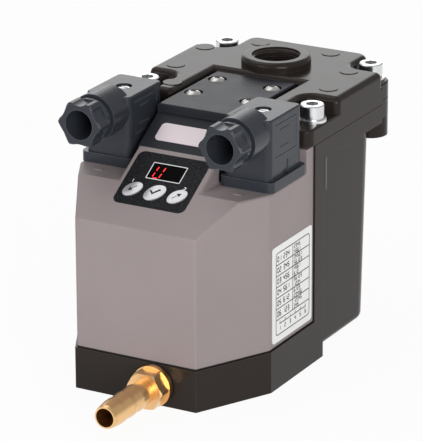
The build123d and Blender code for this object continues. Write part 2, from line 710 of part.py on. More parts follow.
def head_block():
    top = [
        (RIDGE_REAR, PLATFORM_HEIGHT),
        (RIDGE_REAR, slope_height(RIDGE_REAR)),
        (SLOPE_END, HEAD_STEP),
        (HEAD_STEP_FRONT, HEAD_STEP),
        (HEAD_STEP_FRONT, HEAD_TOP),
        (HEAD_REAR, HEAD_TOP),
        (HEAD_REAR, RECESS_TOP),
        (HEAD_LEG_REAR, RECESS_TOP),
        (HEAD_LEG_REAR, PLATFORM_HEIGHT),
    ]
    form = side_slab(top, RIDGE_HALF)
    form = fillet([edge for edge in form.edges() if edge.center().Z > HEAD_TOP - 0.01], HEAD_EDGE)
    front_room = block(
        (-HEAD_OPENING_HALF, HEAD_OPENING_HALF),
        (RIDGE_REAR + HEAD_WALL, HEAD_LEG_REAR - HEAD_WALL),
        (PLATFORM_HEIGHT, HEAD_TOP - HEAD_WALL),
    )
    roof = on_slope(block((-HALF_WIDTH, HALF_WIDTH), (0, LID_TOP), (-HEAD_WALL, LID_TOP)))
    rear_room = block(
        (-RIDGE_HALF + HEAD_WALL, RIDGE_HALF - HEAD_WALL),
        (HEAD_LEG_REAR - HEAD_WALL - 1.0, HEAD_REAR - HEAD_WALL),
        (RECESS_TOP, HEAD_TOP - HEAD_WALL),
    )
    step_wall = block(
        (-HEAD_OPENING_HALF, HEAD_OPENING_HALF),
        (RIDGE_REAR, HEAD_STEP_FRONT + HEAD_WALL),
        (HEAD_STEP - HEAD_WALL, HEAD_TOP),
    )
    room = front_room - roof - step_wall + rear_room
    for x, y in head_screw_places():
        room -= post(HEAD_BOSS_RADIUS + M4_RADIUS / 4, (RECESS_TOP, HEAD_TOP), x, y)
    form -= room
    for x, y in head_screw_places():
        form -= post(M4_RADIUS + HOLE_GAP, (RECESS_TOP, HEAD_TOP), x, y)
        form -= post(M4_HEAD_RADIUS + HOLE_GAP, (HEAD_TOP - HEAD_SCREW_SINK, HEAD_TOP), x, y)
    return form - slope_tile(NAME_PLATE_WIDTH / 2, NAME_PLATE_UP, NAME_PLATE_CORNER, (-PLATE_SINK, 1.0))


def head_screws():
    seat = HEAD_TOP - HEAD_SCREW_SINK
    screw = button_screw(M4_RADIUS, seat - RECESS_TOP + HEAD_SCREW_BITE, M4_HEAD_RADIUS, M4_HEAD_HEIGHT, M4_KEY)
    return Part() + [Pos(x, y, seat) * screw for x, y in head_screw_places()]


def name_plate():
    span = (-PLATE_SINK, PLATE_STOCK - PLATE_SINK)
    return slope_tile(NAME_PLATE_WIDTH / 2, NAME_PLATE_UP, NAME_PLATE_CORNER, span)


# ---- Front cover ----
def cover_profile(bottom, rear, ridge):
    """Side outline of the cover, through the ridge or through a platform."""
    crown = [(RIDGE_REAR, slope_height(RIDGE_REAR)), (RIDGE_REAR, PLATFORM_HEIGHT)]
    return [
        (COVER_FRONT, bottom),
        (COVER_FRONT, FOLD_HEIGHT),
        *(crown if ridge else [(PLATFORM_FRONT, PLATFORM_HEIGHT)]),
        (COVER_LIP_FRONT, PLATFORM_HEIGHT),
        (COVER_LIP_FRONT, COVER_LIP_TOP),
        (rear, COVER_LIP_TOP),
        (rear, bottom),
    ]


def cover_form(inset, bottom, rear):
    """The cover's outside, or its inside where an inset is given."""
    plan = rise(foot_face(COVER_INSET + inset, rear), (bottom, HEAD_TOP))

    def slab(ridge, half_width):
        face = make_face(Plane.YZ * Polyline(*cover_profile(bottom, rear, ridge), close=True))
        if inset:
            face = offset(face, -inset, kind=Kind.INTERSECTION)
        return extrude(face, half_width, both=True)

    return plan & (slab(True, RIDGE_HALF - inset) + slab(False, HALF_WIDTH))


def soften_cover(form):
    """Rounds the cover's outer edges, then the hollow edges where the ridge meets the platforms."""

    def on_ridge(edge):
        return abs(abs(edge.center().X) - RIDGE_HALF) < COVER_EDGE / 2

    def along_foot_of_ridge(edge):
        return on_ridge(edge) and abs(edge.center().Z - PLATFORM_HEIGHT) < COVER_EDGE / 4

    front = [
        edge
        for edge in form.edges()
        if edge.center().Z > COVER_BOTTOM + COVER_EDGE and edge.center().Y < COVER_LIP_FRONT - SEAM
    ]
    outer = [edge for edge in front if not on_ridge(edge) and abs(edge.center().Y - RIDGE_REAR) > SEAM]
    crest = [edge for edge in front if on_ridge(edge) and abs(edge.center().Y - RIDGE_REAR) > SEAM]
    crest = [edge for edge in crest if not along_foot_of_ridge(edge)]
    form = fillet(outer + crest, COVER_EDGE)
    return fillet([edge for edge in form.edges() if along_foot_of_ridge(edge)], COVER_EDGE)


def front_cover():
    form = soften_cover(cover_form(0, COVER_BOTTOM, COVER_REAR))
    form -= cover_form(COVER_WALL, COVER_BOTTOM - 2 * COVER_WALL, COVER_REAR + 2 * COVER_WALL)
    head_opening = (RIDGE_REAR - COVER_WALL, HEAD_OPENING_REAR)
    platform = (PLATFORM_HEIGHT - COVER_WALL, PLATFORM_HEIGHT)
    form -= block((-HEAD_OPENING_HALF, HEAD_OPENING_HALF), head_opening, platform)
    for side in SIDES:
        form -= tile(SOCKET_WIDTH, SOCKET_LENGTH, 1.0, platform, side * PLUG_X, PLUG_Y)
        arrow = Pos(side * PLUG_X, ARROW_Y, PLATFORM_HEIGHT) * Rot(0, 0, 90)
        arrow *= rise(RegularPolygon(ARROW_SIZE / 2, 3), (-ARROW_RISE, ARROW_RISE))
        form += arrow
    form += cover_bosses() + board_pillars()
    form -= slope_tile(KEYPAD_HALF, KEYPAD_UP, KEYPAD_CORNER, (-KEYPAD_SINK, 1.0))
    form -= slope_tile(WINDOW_HALF, WINDOW_UP, 0.5, (-2 * COVER_WALL, 1.0))
    for x, halves in key_places().values():
        form -= on_slope(key_post(halves, SLIDE_GAP, (-2 * COVER_WALL, 1.0)), x, KEY_UP)
    for x, y in cover_screw_places():
        form -= post(M3_RADIUS + THREAD_GAP, (FOOT_HEIGHT, FOOT_HEIGHT + COVER_BOSS_HEIGHT - 2.0), x, y)
    for x, up in board_screw_places():
        form -= slope_post(BOARD_SCREW_RADIUS + THREAD_GAP, (-BOARD_DEPTH, -COVER_WALL - 1.0), x, up)
    return form


def cover_bosses():
    """Screw bosses that stand on the foot, each tied to the wall by a rib."""
    span = (FOOT_HEIGHT, FOOT_HEIGHT + COVER_BOSS_HEIGHT)
    rib_span = (COVER_BOTTOM, FOOT_HEIGHT + COVER_BOSS_HEIGHT)
    front, side_boss = COVER_SCREW_PLACES
    bosses = Part()
    for side in SIDES:
        for x, y in (front, side_boss):
            bosses += post(COVER_BOSS_RADIUS, span, side * x, y)
        x = side * front[0]
        wall = COVER_FRONT + COVER_WALL / 2
        bosses += block((x - COVER_RIB / 2, x + COVER_RIB / 2), (wall, front[1]), rib_span)
        near, far = sorted((side * side_boss[0], side * (HALF_WIDTH - COVER_INSET - COVER_WALL / 2)))
        bosses += block((near, far), (side_boss[1] - COVER_RIB / 2, side_boss[1] + COVER_RIB / 2), rib_span)
    return bosses


def board_pillars():
    pillars = Part()
    for x, up in board_screw_places():
        pillars += slope_post(BOARD_PILLAR_RADIUS, (-BOARD_DEPTH, -COVER_WALL / 2), x, up)
    return pillars


def cover_gasket():
    """Flat strip under the cover's wall, open at the back."""
    outer = foot_face(COVER_INSET, COVER_REAR)
    inner = foot_face(COVER_INSET + COVER_WALL, COVER_REAR + 2 * COVER_WALL)
    return rise(outer - inner, (FOOT_HEIGHT, COVER_BOTTOM))


def cover_screws():
    screw = cap_screw(M3_RADIUS, COVER_SCREW_LENGTH, M3_HEAD_RADIUS, M3_HEAD_HEIGHT, M3_KEY)
    return Part() + [Pos(x, y, COVER_SCREW_SINK) * Rot(180, 0, 0) * screw for x, y in cover_screw_places()]


def rating_plate():
    face = Plane.YZ * Pos(sum(RATING_Y) / 2, sum(RATING_Z) / 2) * RectangleRounded(
        RATING_Y[1] - RATING_Y[0], RATING_Z[1] - RATING_Z[0], RATING_CORNER
    )
    return Pos(HALF_WIDTH - COVER_INSET, 0, 0) * extrude(face, RATING_STOCK, dir=(1, 0, 0))


# ---- Keypad, display and circuit board ----
def keypad_overlay():
    sheet = slope_tile(KEYPAD_HALF, KEYPAD_UP, KEYPAD_CORNER, (-KEYPAD_SINK, KEYPAD_THICKNESS - KEYPAD_SINK))
    sheet -= slope_tile(WINDOW_HALF, WINDOW_UP, 0.5, (-1.0, 1.0))
    for x, halves in key_places().values():
        sheet -= on_slope(key_post(halves, SLIDE_GAP, (-1.0, 1.0)), x, KEY_UP)
    return sheet


def key_cap(x, halves):
    """Domed oval cap, the flange that keeps it in, and the stem that works the switch."""
    flange_top = -COVER_WALL - SLIDE_GAP
    flange_bottom = flange_top - KEY_FLANGE_THICKNESS
    switch_top = -BOARD_DEPTH + SWITCH_HEIGHT
    ball = (halves[0] ** 2 + KEY_DOME**2) / (2 * KEY_DOME)
    cap = Pos(0, 0, KEY_PROUD - ball) * Sphere(ball) & key_post(halves, 0, (flange_bottom, KEY_PROUD))
    cap += key_post(halves, KEY_FLANGE, (flange_bottom, flange_top))
    cap += post(KEY_STEM_RADIUS, (switch_top - KEY_TRAVEL, flange_bottom))
    return on_slope(cap, x, KEY_UP)


def key_switches():
    span = (-BOARD_DEPTH, -BOARD_DEPTH + SWITCH_HEIGHT)
    switch = tile(SWITCH_SIZE, SWITCH_SIZE, 0.5, span)
    switch -= post(KEY_STEM_RADIUS + SLIDE_GAP, (span[1] - SWITCH_BORE_DEPTH, span[1]))
    return Part() + [on_slope(switch, x, KEY_UP) for x, _ in key_places().values()]


def display_lens():
    """Clear window that fills the opening in the cover."""
    up = (WINDOW_UP[0] + WINDOW_GAP, WINDOW_UP[1] - WINDOW_GAP)
    return slope_tile(WINDOW_HALF - WINDOW_GAP, up, 0.5, (-COVER_WALL, 0.0))


def display_module():
    middle = sum(WINDOW_UP) / 2
    span = (-BOARD_DEPTH, -COVER_WALL - DISPLAY_GAP)
    return on_slope(Pos(0, middle, 0) * rise(Rectangle(*DISPLAY_SIZE), span))


def circuit_board():
    span = (-BOARD_DEPTH - BOARD_THICKNESS, -BOARD_DEPTH)
    board = slope_tile(BOARD_HALF, BOARD_UP, 1.0, span)
    for x, up in board_screw_places():
        board -= slope_post(BOARD_SCREW_RADIUS + HOLE_GAP, span, x, up)
    return board


def board_screws():
    length = BOARD_THICKNESS + (BOARD_DEPTH - COVER_WALL) * 0.7
    screw = post(BOARD_SCREW_HEAD, (-1.2, 0)) + post(BOARD_SCREW_RADIUS, (0, length))
    return Part() + [on_slope(screw, x, up, -BOARD_DEPTH - BOARD_THICKNESS) for x, up in board_screw_places()]


# ---- Plug connectors, modelled about their own centre and placed left and right ----
def beside(shape, side):
    return Pos(side * PLUG_X, PLUG_Y, 0) * shape


def blade_faces(gap):
    """Plans of the two contacts and the earth blade, grown by a gap."""
    long, thin = BLADE_WIDTH + 2 * gap, BLADE_THICKNESS + 2 * gap
    contacts = [Pos(side * BLADE_OFFSET, 0) * Rectangle(thin, long) for side in SIDES]
    return contacts + [Pos(0, EARTH_OFFSET) * Rectangle(long, thin)]


def socket_base(side):
    """Insulator that fills the platform's opening, with its rim under the platform."""
    under = PLATFORM_HEIGHT - COVER_WALL
    base = tile(SOCKET_WIDTH - 2 * SOCKET_GAP, SOCKET_LENGTH - 2 * SOCKET_GAP, 1.0, (under, PLATFORM_HEIGHT))
    rim = (under - SOCKET_RIM_THICKNESS, under)
    base += tile(SOCKET_WIDTH + 2 * SOCKET_RIM_SIDE, SOCKET_LENGTH + 2 * SOCKET_RIM_END, 1.5, rim)
    body = (rim[0] - SOCKET_BODY_DEPTH, rim[0])
    base += tile(SOCKET_WIDTH - 2 * SOCKET_BODY_INSET, SOCKET_LENGTH - 2 * SOCKET_BODY_INSET, 1.0, body)
    post_top = PLATFORM_HEIGHT + SOCKET_POST_HEIGHT
    base += post(SOCKET_POST_RADIUS, (PLATFORM_HEIGHT, post_top))
    base -= post(M3_RADIUS + SLIDE_GAP, (post_top - SOCKET_POST_HEIGHT - PLUG_SCREW_BITE, post_top))
    for face in blade_faces(0):
        base -= rise(face, (body[0], PLATFORM_HEIGHT))
    return beside(base, side)


def socket_contacts(side):
    bottom = PLATFORM_HEIGHT - COVER_WALL - SOCKET_RIM_THICKNESS - SOCKET_BODY_DEPTH - BLADE_TAIL
    blades = [rise(face, (bottom, PLATFORM_HEIGHT + BLADE_RISE)) for face in blade_faces(0)]
    return beside(Part() + blades, side)


def plug_gasket(side):
    span = (PLATFORM_HEIGHT, PLATFORM_HEIGHT + PLUG_GASKET_HEIGHT)
    ring = tile(PLUG_GASKET_WIDTH, PLUG_GASKET_LENGTH, PLUG_CORNER, span)
    ring -= tile(PLUG_WIDTH, PLUG_LENGTH, PLUG_CORNER, (PLUG_BOTTOM, span[1]))
    return beside(ring - tile(*PLUG_GASKET_HOLE, 1.0, span), side)


def plug_cavity():
    """Room inside the plug's housing, from its open bottom to its roof."""
    wall = 2 * PLUG_WALL
    return tile(PLUG_WIDTH - wall, PLUG_LENGTH - wall, PLUG_CORNER - PLUG_WALL / 2, (PLUG_BOTTOM, PLUG_TOP - PLUG_ROOF))


def plug_housing(side):
    """Square housing with the cable gland's boss on its front, high up."""
    shell = tile(PLUG_WIDTH, PLUG_LENGTH, PLUG_CORNER, (PLUG_BOTTOM, PLUG_TOP))
    shell = fillet(shell.faces().sort_by(Axis.Z)[-1].edges(), PLUG_EDGE)
    front = -PLUG_LENGTH / 2
    boss = bar(GLAND_RADIUS, (front - GLAND_REACH, front + PLUG_WALL * 2), 0, GLAND_Z)
    floor_y = front - GLAND_REACH + GLAND_BORE_DEPTH
    shell += boss
    shell -= plug_cavity() - block(
        (-PLUG_WIDTH, PLUG_WIDTH), (front, floor_y + PLUG_WALL), (GLAND_Z - GLAND_RADIUS, PLUG_TOP)
    )
    shell -= bar(GLAND_BORE, (front - GLAND_REACH, floor_y), 0, GLAND_Z)
    passage = bar(GLAND_PASSAGE, (floor_y, floor_y + 2 * PLUG_WALL), 0, GLAND_Z)
    shell -= passage & plug_room()
    recess = (PLUG_TOP - PLUG_SCREW_RECESS_DEPTH, PLUG_TOP)
    shell -= post(PLUG_SCREW_RECESS_RADIUS, recess)
    shell -= post(M3_RADIUS + SLIDE_GAP, (PLUG_BOTTOM, PLUG_TOP))
    for face_side in SIDES:
        shell -= side_marks(face_side)
    return beside(shell, side)


def plug_room():
    """Everything under the roof of the housing, for trimming the cable's way in."""
    return block(
        (-PLUG_WIDTH / 2, PLUG_WIDTH / 2), (-PLUG_LENGTH, PLUG_LENGTH), (PLUG_BOTTOM, PLUG_TOP - PLUG_WALL)
    )


def side_marks(face_side):
    """Grooves on one side of the housing: a frame open to the front, two bars in it and the pry slot below."""
    face = face_side * PLUG_WIDTH / 2
    depth = sorted((face, face - face_side * FRAME_GROOVE_DEPTH))
    inner_y = (FRAME_Y[0], FRAME_Y[1] - FRAME_GROOVE)
    inner_z = (FRAME_Z[0] + FRAME_GROOVE, FRAME_Z[1] - FRAME_GROOVE)
    marks = block(depth, FRAME_Y, FRAME_Z) - block(depth, inner_y, inner_z)
    start = FRAME_Y[0] + FRAME_BAR_INSET
    for drop in FRAME_BAR_DROPS:
        level = FRAME_Z[1] - drop
        marks += block(depth, (start, start + FRAME_BAR_LENGTH), (level - FRAME_GROOVE, level))
    return marks + block(depth, PRY_SLOT_Y, (PLUG_BOTTOM, PLUG_BOTTOM + PRY_SLOT_HEIGHT))


def plug_insert(side):
    """Terminal block inside the housing, slotted for the blades."""
    span = (PLUG_BOTTOM, PLUG_BOTTOM + INSERT_HEIGHT)
    inset = 2 * (PLUG_WALL + INSERT_GAP)
    core = tile(PLUG_WIDTH - inset, PLUG_LENGTH - inset, PLUG_CORNER - PLUG_WALL / 2, span)
    core -= post(SOCKET_POST_RADIUS + HOLE_GAP, (span[0], PLATFORM_HEIGHT + SOCKET_POST_HEIGHT + 0.5))
    core -= post(M3_RADIUS + HOLE_GAP, span)
    for face in blade_faces(INSERT_SLOT_GAP):
        core -= rise(face, (span[0], PLATFORM_HEIGHT + BLADE_RISE + 0.5))
    return beside(core, side)


def plug_screw(side):
    seat = PLUG_TOP - PLUG_SCREW_RECESS_DEPTH
    tip = PLATFORM_HEIGHT + SOCKET_POST_HEIGHT - PLUG_SCREW_BITE
    head = post(PLUG_SCREW_HEAD_RADIUS, (seat, seat + PLUG_SCREW_HEAD_HEIGHT))
    head = fillet(head.edges().sort_by(Axis.Z)[-1], PLUG_SCREW_HEAD_HEIGHT / 3)
    slot_z = (seat + PLUG_SCREW_HEAD_HEIGHT * 0.4, seat + PLUG_SCREW_HEAD_HEIGHT)
    reach = PLUG_SCREW_HEAD_RADIUS
    screw = head + post(M3_RADIUS, (tip, seat)) - block((-reach, reach), (-0.4, 0.4), slot_z)
    return beside(screw, side)


def grommet(side):
    front = GLAND_FLOOR - GROMMET_LENGTH - PLUG_Y
    span = (front, GLAND_FLOOR - PLUG_Y)
    return beside(bar(GLAND_BORE - THREAD_GAP, span, 0, GLAND_Z) - bar(GROMMET_HOLE, span, 0, GLAND_Z), side)


def thrust_ring(side):
    rear = GLAND_FLOOR - GROMMET_LENGTH - PLUG_Y
    span = (rear - RING_THICKNESS, rear)
    return beside(bar(GLAND_BORE - SLIDE_GAP, span, 0, GLAND_Z) - bar(RING_HOLE, span, 0, GLAND_Z), side)


def gland_nut(side):
    """Fluted hexagon nut with a round collar and a threaded spigot behind it."""
    spigot_end = GLAND_FLOOR - GROMMET_LENGTH - RING_THICKNESS - PLUG_Y
    hex_rear = GLAND_FRONT - NUT_HEX_GAP - PLUG_Y
    hex_front = hex_rear - NUT_HEX_LENGTH
    facing = Pos(0, 0, GLAND_Z) * Rot(90, 0, 0)
    hexagon = rise(fillet(RegularPolygon(NUT_CORNER_RADIUS, 6).vertices(), 1.0), (-hex_rear, -hex_front))
    hexagon = chamfer(hexagon.faces().sort_by(Axis.Z)[-1].edges(), NUT_EDGE)
    flute_end = -hex_rear + NUT_COLLAR_LENGTH
    for angle in range(30, 390, 60):
        reach = NUT_FLUTE_FLOOR + NUT_FLUTE_RADIUS
        hexagon -= Rot(0, 0, angle) * post(NUT_FLUTE_RADIUS, (flute_end, -hex_front), reach, 0)
    collar = post(NUT_CORNER_RADIUS, (-hex_rear, flute_end)) - post(NUT_COLLAR_RADIUS, (-hex_rear, flute_end))
    nut = hexagon - collar + post(GLAND_BORE - SLIDE_GAP, (-spigot_end, -hex_rear))
    depth = -hex_front + spigot_end
    cone = Pos(0, 0, -spigot_end + depth / 2) * Cone(NUT_THROAT, NUT_MOUTH, depth)
    return beside(facing * (nut - cone), side)


# ---- Outlet ----
def outlet_washer():
    span = (FOOT_FRONT - WASHER_THICKNESS, FOOT_FRONT)
    return bar(WASHER_RADIUS, span, OUTLET_X, OUTLET_Z) - bar(PORT_RADIUS, span, OUTLET_X, OUTLET_Z)


def outlet_tail():
    """Screw-in hose tail: threaded spigot, collar, hexagon and three barbs."""
    collar_rear = WASHER_THICKNESS
    collar_front = collar_rear + COLLAR_LENGTH
    hex_front = collar_front + OUTLET_HEX_LENGTH
    end = FOOT_FRONT - TAIL_END
    first_barb = end - TAIL_NOSE - BARB_COUNT * BARB_PITCH
    profile = [
        (TAIL_BORE, -SPIGOT_LENGTH),
        (PORT_RADIUS - THREAD_GAP, -SPIGOT_LENGTH),
        (PORT_RADIUS - THREAD_GAP, collar_rear),
        (COLLAR_RADIUS, collar_rear),
        (COLLAR_RADIUS, collar_front),
        (TAIL_ROOT, collar_front),
    ]
    for i in range(BARB_COUNT):
        start = first_barb + i * BARB_PITCH
        profile += [(TAIL_ROOT, start), (TAIL_CREST, start), (TAIL_CREST, start + BARB_LAND)]
    profile += [(TAIL_ROOT, end - TAIL_NOSE), (TAIL_ROOT - TAIL_NOSE / 3, end), (TAIL_BORE, end)]
    turned = revolve(make_face(Plane.XZ * Polyline(*profile, close=True)), Axis.Z)
    hexagon = rise(RegularPolygon(OUTLET_HEX / 2, 6, major_radius=False), (collar_front, hex_front))
    bevel = post(OUTLET_HEX * 0.56, (collar_front, hex_front))
    bevel = chamfer(bevel.edges().sort_by(Axis.Z)[-1], 0.7)
    hexagon = (hexagon & bevel) - post(TAIL_BORE, (collar_front, hex_front))
    return Pos(OUTLET_X, FOOT_FRONT, OUTLET_Z) * Rot(90, 0, 0) * (turned + hexagon)


# ---- Solenoid valve ----
def at_valve(shape):
    return Pos(OUTLET_X, VALVE_Y, 0) * shape


def valve_seat():
    flange_top = VALVE_WELL_FLOOR + SEAT_FLANGE
    bottom = VALVE_WELL_FLOOR - SEAT_STEM
    seat = post(SEAT_STEM_RADIUS, (bottom, VALVE_WELL_FLOOR))
    seat += post(SEAT_RADIUS, (VALVE_WELL_FLOOR, flange_top))
    seat += post(SEAT_NOSE_RADIUS, (flange_top, SEAT_TOP))
    return at_valve(seat - post(SEAT_ORIFICE, (bottom, SEAT_TOP)))


def valve_bonnet():
    plate = tile(2 * BONNET_HALF_X, 2 * BONNET_HALF_Y, BONNET_CORNER, (FOOT_HEIGHT, BONNET_TOP))
    plate -= post(CORE_RADIUS + THREAD_GAP, (FOOT_HEIGHT, BONNET_TOP))
    for i in SIDES:
        for j in SIDES:
            hole = (FOOT_HEIGHT, BONNET_TOP)
            plate -= post(M4_RADIUS + HOLE_GAP, hole, i * BONNET_SCREW_X, j * BONNET_SCREW_Y)
    return at_valve(plate)


def bonnet_seal():
    """O-ring round the core tube's flange."""
    room = VALVE_RECESS_RADIUS - CORE_FLANGE_RADIUS
    wire = min(room, VALVE_RECESS_DEPTH) / 2 - THREAD_GAP
    middle = (VALVE_RECESS_RADIUS + CORE_FLANGE_RADIUS) / 2
    return at_valve(Pos(0, 0, FOOT_HEIGHT - VALVE_RECESS_DEPTH + wire) * Torus(middle, wire))


def bonnet_screws():
    screw = button_screw(M4_RADIUS, BONNET_THICKNESS + BONNET_SCREW_BITE, M4_HEAD_RADIUS, M4_HEAD_HEIGHT, M4_KEY)
    return Part() + [Pos(x, y, BONNET_TOP) * screw for x, y in bonnet_screw_places()]


def core_tube():
    """Guide tube for the plunger, closed at the top, with its flange under the bonnet."""
    bottom = FOOT_HEIGHT - VALVE_RECESS_DEPTH
    tube = post(CORE_FLANGE_RADIUS, (bottom, FOOT_HEIGHT)) + post(CORE_RADIUS, (bottom, CORE_TOP))
    tube -= post(CORE_RADIUS - CORE_WALL, (bottom, CORE_STOP))
    return at_valve(tube + post(CORE_STUD_RADIUS, (CORE_TOP, CORE_TOP + CORE_STUD_LENGTH)))


def plunger():
    bottom = SEAT_TOP + SEAL_DISC_PROUD
    radius = CORE_RADIUS - CORE_WALL - SLIDE_GAP
    rod = post(radius, (bottom, PLUNGER_TOP))
    rod -= post(SEAL_DISC_RADIUS, (bottom, SEAT_TOP + SEAL_DISC_THICKNESS))
    rod -= post(SPRING_POCKET_RADIUS, (PLUNGER_TOP - SPRING_POCKET_DEPTH, PLUNGER_TOP))
    for side in SIDES:
        edge = side * radius
        near, far = sorted((edge, edge - side * PLUNGER_GROOVE))
        rod -= block((near, far), (-PLUNGER_GROOVE, PLUNGER_GROOVE), (bottom, PLUNGER_TOP))
    return at_valve(rod)


def plunger_seal():
    return at_valve(post(SEAL_DISC_RADIUS, (SEAT_TOP, SEAT_TOP + SEAL_DISC_THICKNESS)))


def valve_spring():
    """Coil spring between the plunger's pocket and the closed end of the core tube."""
    low = PLUNGER_TOP - SPRING_POCKET_DEPTH + SPRING_WIRE
    height = CORE_STOP - SPRING_WIRE - low
    path = Helix(height / SPRING_TURNS, height, SPRING_RADIUS)
    wire = Plane(origin=path @ 0, z_dir=path % 0) * Circle(SPRING_WIRE)
    return at_valve(Pos(0, 0, low) * sweep(wire, path=path, is_frenet=True))


def valve_coil():
    body = tile(2 * COIL_HALF, 2 * COIL_HALF, COIL_CORNER, (COIL_BOTTOM, COIL_TOP))
    return at_valve(body - post(CORE_RADIUS + SLIDE_GAP, (COIL_BOTTOM, COIL_TOP)))


def coil_yoke():
    """Steel strap round the coil, clamped by the nut on top."""
    outer = block((-YOKE_HALF - YOKE_STOCK, COIL_HALF + YOKE_STOCK), (-YOKE_HALF, YOKE_HALF), (BONNET_TOP, YOKE_TOP))
    room = block((-YOKE_HALF - YOKE_STOCK, COIL_HALF), (-YOKE_HALF, YOKE_HALF), (COIL_BOTTOM, COIL_TOP))
    return at_valve(outer - room - post(CORE_RADIUS + SLIDE_GAP, (BONNET_TOP, YOKE_TOP)))


def coil_nut():
    span = (YOKE_TOP, YOKE_TOP + COIL_NUT_HEIGHT)
    nut = rise(RegularPolygon(COIL_NUT_HEX / 2, 6, major_radius=False), span)
    bevel = chamfer(post(COIL_NUT_HEX * 0.56, span).edges().sort_by(Axis.Z)[-1], 0.8)
    return at_valve((nut & bevel) - post(CORE_STUD_RADIUS + THREAD_GAP, span))


# ---- Level probe and strainer ----
def level_probe():
    """Capacitive rod that hangs in the chamber from the lid's recess."""
    shoulder = RECESS_TOP - PROBE_FLANGE_THICKNESS
    neck_bottom = shoulder - PROBE_NECK_LENGTH
    probe = post(PROBE_FLANGE_RADIUS, (shoulder, RECESS_TOP)) + post(PROBE_NECK_RADIUS, (neck_bottom, shoulder))
    rod = post(PROBE_RADIUS, (PROBE_TIP, neck_bottom))
    rod = fillet(rod.edges().sort_by(Axis.Z)[0], PROBE_RADIUS / 2)
    return Pos(0, PROBE_Y, 0) * (probe + rod - probe_seal_room())


def probe_seal_room():
    middle = RECESS_TOP - PROBE_FLANGE_THICKNESS - PROBE_SEAL_WIRE * 2
    reach = (middle - PROBE_SEAL_WIRE, middle + PROBE_SEAL_WIRE)
    return post(PROBE_NECK_RADIUS, reach) - post(PROBE_NECK_RADIUS - 2 * PROBE_SEAL_WIRE + SLIDE_GAP, reach)


def probe_seal():
    middle = RECESS_TOP - PROBE_FLANGE_THICKNESS - PROBE_SEAL_WIRE * 2
    ring = PROBE_NECK_RADIUS + SLIDE_GAP - PROBE_SEAL_WIRE
    return Pos(0, PROBE_Y, middle) * Torus(ring, PROBE_SEAL_WIRE)


def inlet_strainer():
    """Slotted cup over the mouth of the duct to the valve."""
    span = (CHAMBER_FRONT, CHAMBER_FRONT + STRAINER_LENGTH)
    room = (CHAMBER_FRONT, CHAMBER_FRONT + STRAINER_LENGTH - STRAINER_WALL)
    cup = bar(STRAINER_RADIUS, span, OUTLET_X, OUTLET_Z)
    cup -= bar(STRAINER_RADIUS - STRAINER_WALL, room, OUTLET_X, OUTLET_Z)
    reach = STRAINER_RADIUS + 1.0
    for i in range(2):
        start = CHAMBER_FRONT + STRAINER_WALL * 2 + i * STRAINER_SLOT * 2.6
        slot = (start, start + STRAINER_SLOT)
        width = STRAINER_RADIUS * 0.5
        cup -= block((OUTLET_X - reach, OUTLET_X + reach), slot, (OUTLET_Z - width, OUTLET_Z + width))
    return cup


# ---- All nodes ----
def single_nodes():
    makers = [
        reservoir, reservoir_lid, lid_seal, lid_screws, lid_washers, head_block, head_screws, name_plate,
        front_cover, cover_gasket, cover_screws, rating_plate, keypad_overlay, key_switches, display_lens,
        display_module, circuit_board, board_screws, outlet_washer, outlet_tail, valve_seat, valve_bonnet,
        bonnet_seal, bonnet_screws, core_tube, plunger, plunger_seal, valve_spring, valve_coil, coil_yoke,
        coil_nut, level_probe, probe_seal, inlet_strainer,
    ]  # fmt: skip
    return {maker.__name__: maker() for maker in makers}


def key_nodes():
    return {name: key_cap(x, halves) for name, (x, halves) in key_places().items()}


def connector_nodes():
    makers = [
        socket_base, socket_contacts, plug_gasket, plug_housing, plug_insert, plug_screw, grommet, thrust_ring,
        gland_nut,
    ]  # fmt: skip
    sides = {"power": -1, "alarm": 1}
    return {f"{name}_{maker.__name__}": maker(side) for name, side in sides.items() for maker in makers}


def main():
    os.makedirs("parts", exist_ok=True)
    for name, shape in {**single_nodes(), **key_nodes(), **connector_nodes()}.items():
        export_step(shape, f"parts/{name}.step")


if __name__ == "__main__":
    main()
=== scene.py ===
"""Automatic drain valve: its finishes, printed marks and fine pieces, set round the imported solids."""

import json

import bpy
import numpy as np
from mathutils import Matrix, Vector


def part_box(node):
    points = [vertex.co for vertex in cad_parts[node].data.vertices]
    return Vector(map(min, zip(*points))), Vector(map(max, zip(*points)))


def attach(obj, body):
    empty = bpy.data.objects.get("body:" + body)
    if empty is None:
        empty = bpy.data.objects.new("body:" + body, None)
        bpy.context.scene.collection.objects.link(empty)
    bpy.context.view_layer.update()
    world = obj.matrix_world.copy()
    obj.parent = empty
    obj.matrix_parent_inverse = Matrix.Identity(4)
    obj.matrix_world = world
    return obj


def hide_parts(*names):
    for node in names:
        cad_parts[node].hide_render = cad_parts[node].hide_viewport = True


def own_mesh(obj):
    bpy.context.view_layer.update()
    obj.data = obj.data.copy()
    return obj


bl_info = {
    "name": "Automatic Drain Valve",
    "version": (1, 0, 0),
    "blender": (4, 5, 0),
    "location": "View3D > Sidebar > Drain Valve",
    "description": "Dresses the packed drain valve: finishes, inlet thread, keypad and plate marks, stage",
    "category": "Object",
}

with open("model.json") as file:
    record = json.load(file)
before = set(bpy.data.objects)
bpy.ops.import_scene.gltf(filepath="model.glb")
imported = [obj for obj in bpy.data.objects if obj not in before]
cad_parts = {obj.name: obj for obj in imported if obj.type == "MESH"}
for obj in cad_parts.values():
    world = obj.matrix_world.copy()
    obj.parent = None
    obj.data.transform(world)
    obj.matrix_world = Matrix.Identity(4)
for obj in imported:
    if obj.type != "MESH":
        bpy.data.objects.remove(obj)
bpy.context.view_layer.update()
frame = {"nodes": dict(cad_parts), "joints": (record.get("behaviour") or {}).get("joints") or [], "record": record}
MM = 0.001

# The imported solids' own materials have the bare names of the slots
PREFIX = "finish_"

# Rounding in millimetres that the mask of the painted edge highlight looks for
EDGE_RADIUS = 0.45

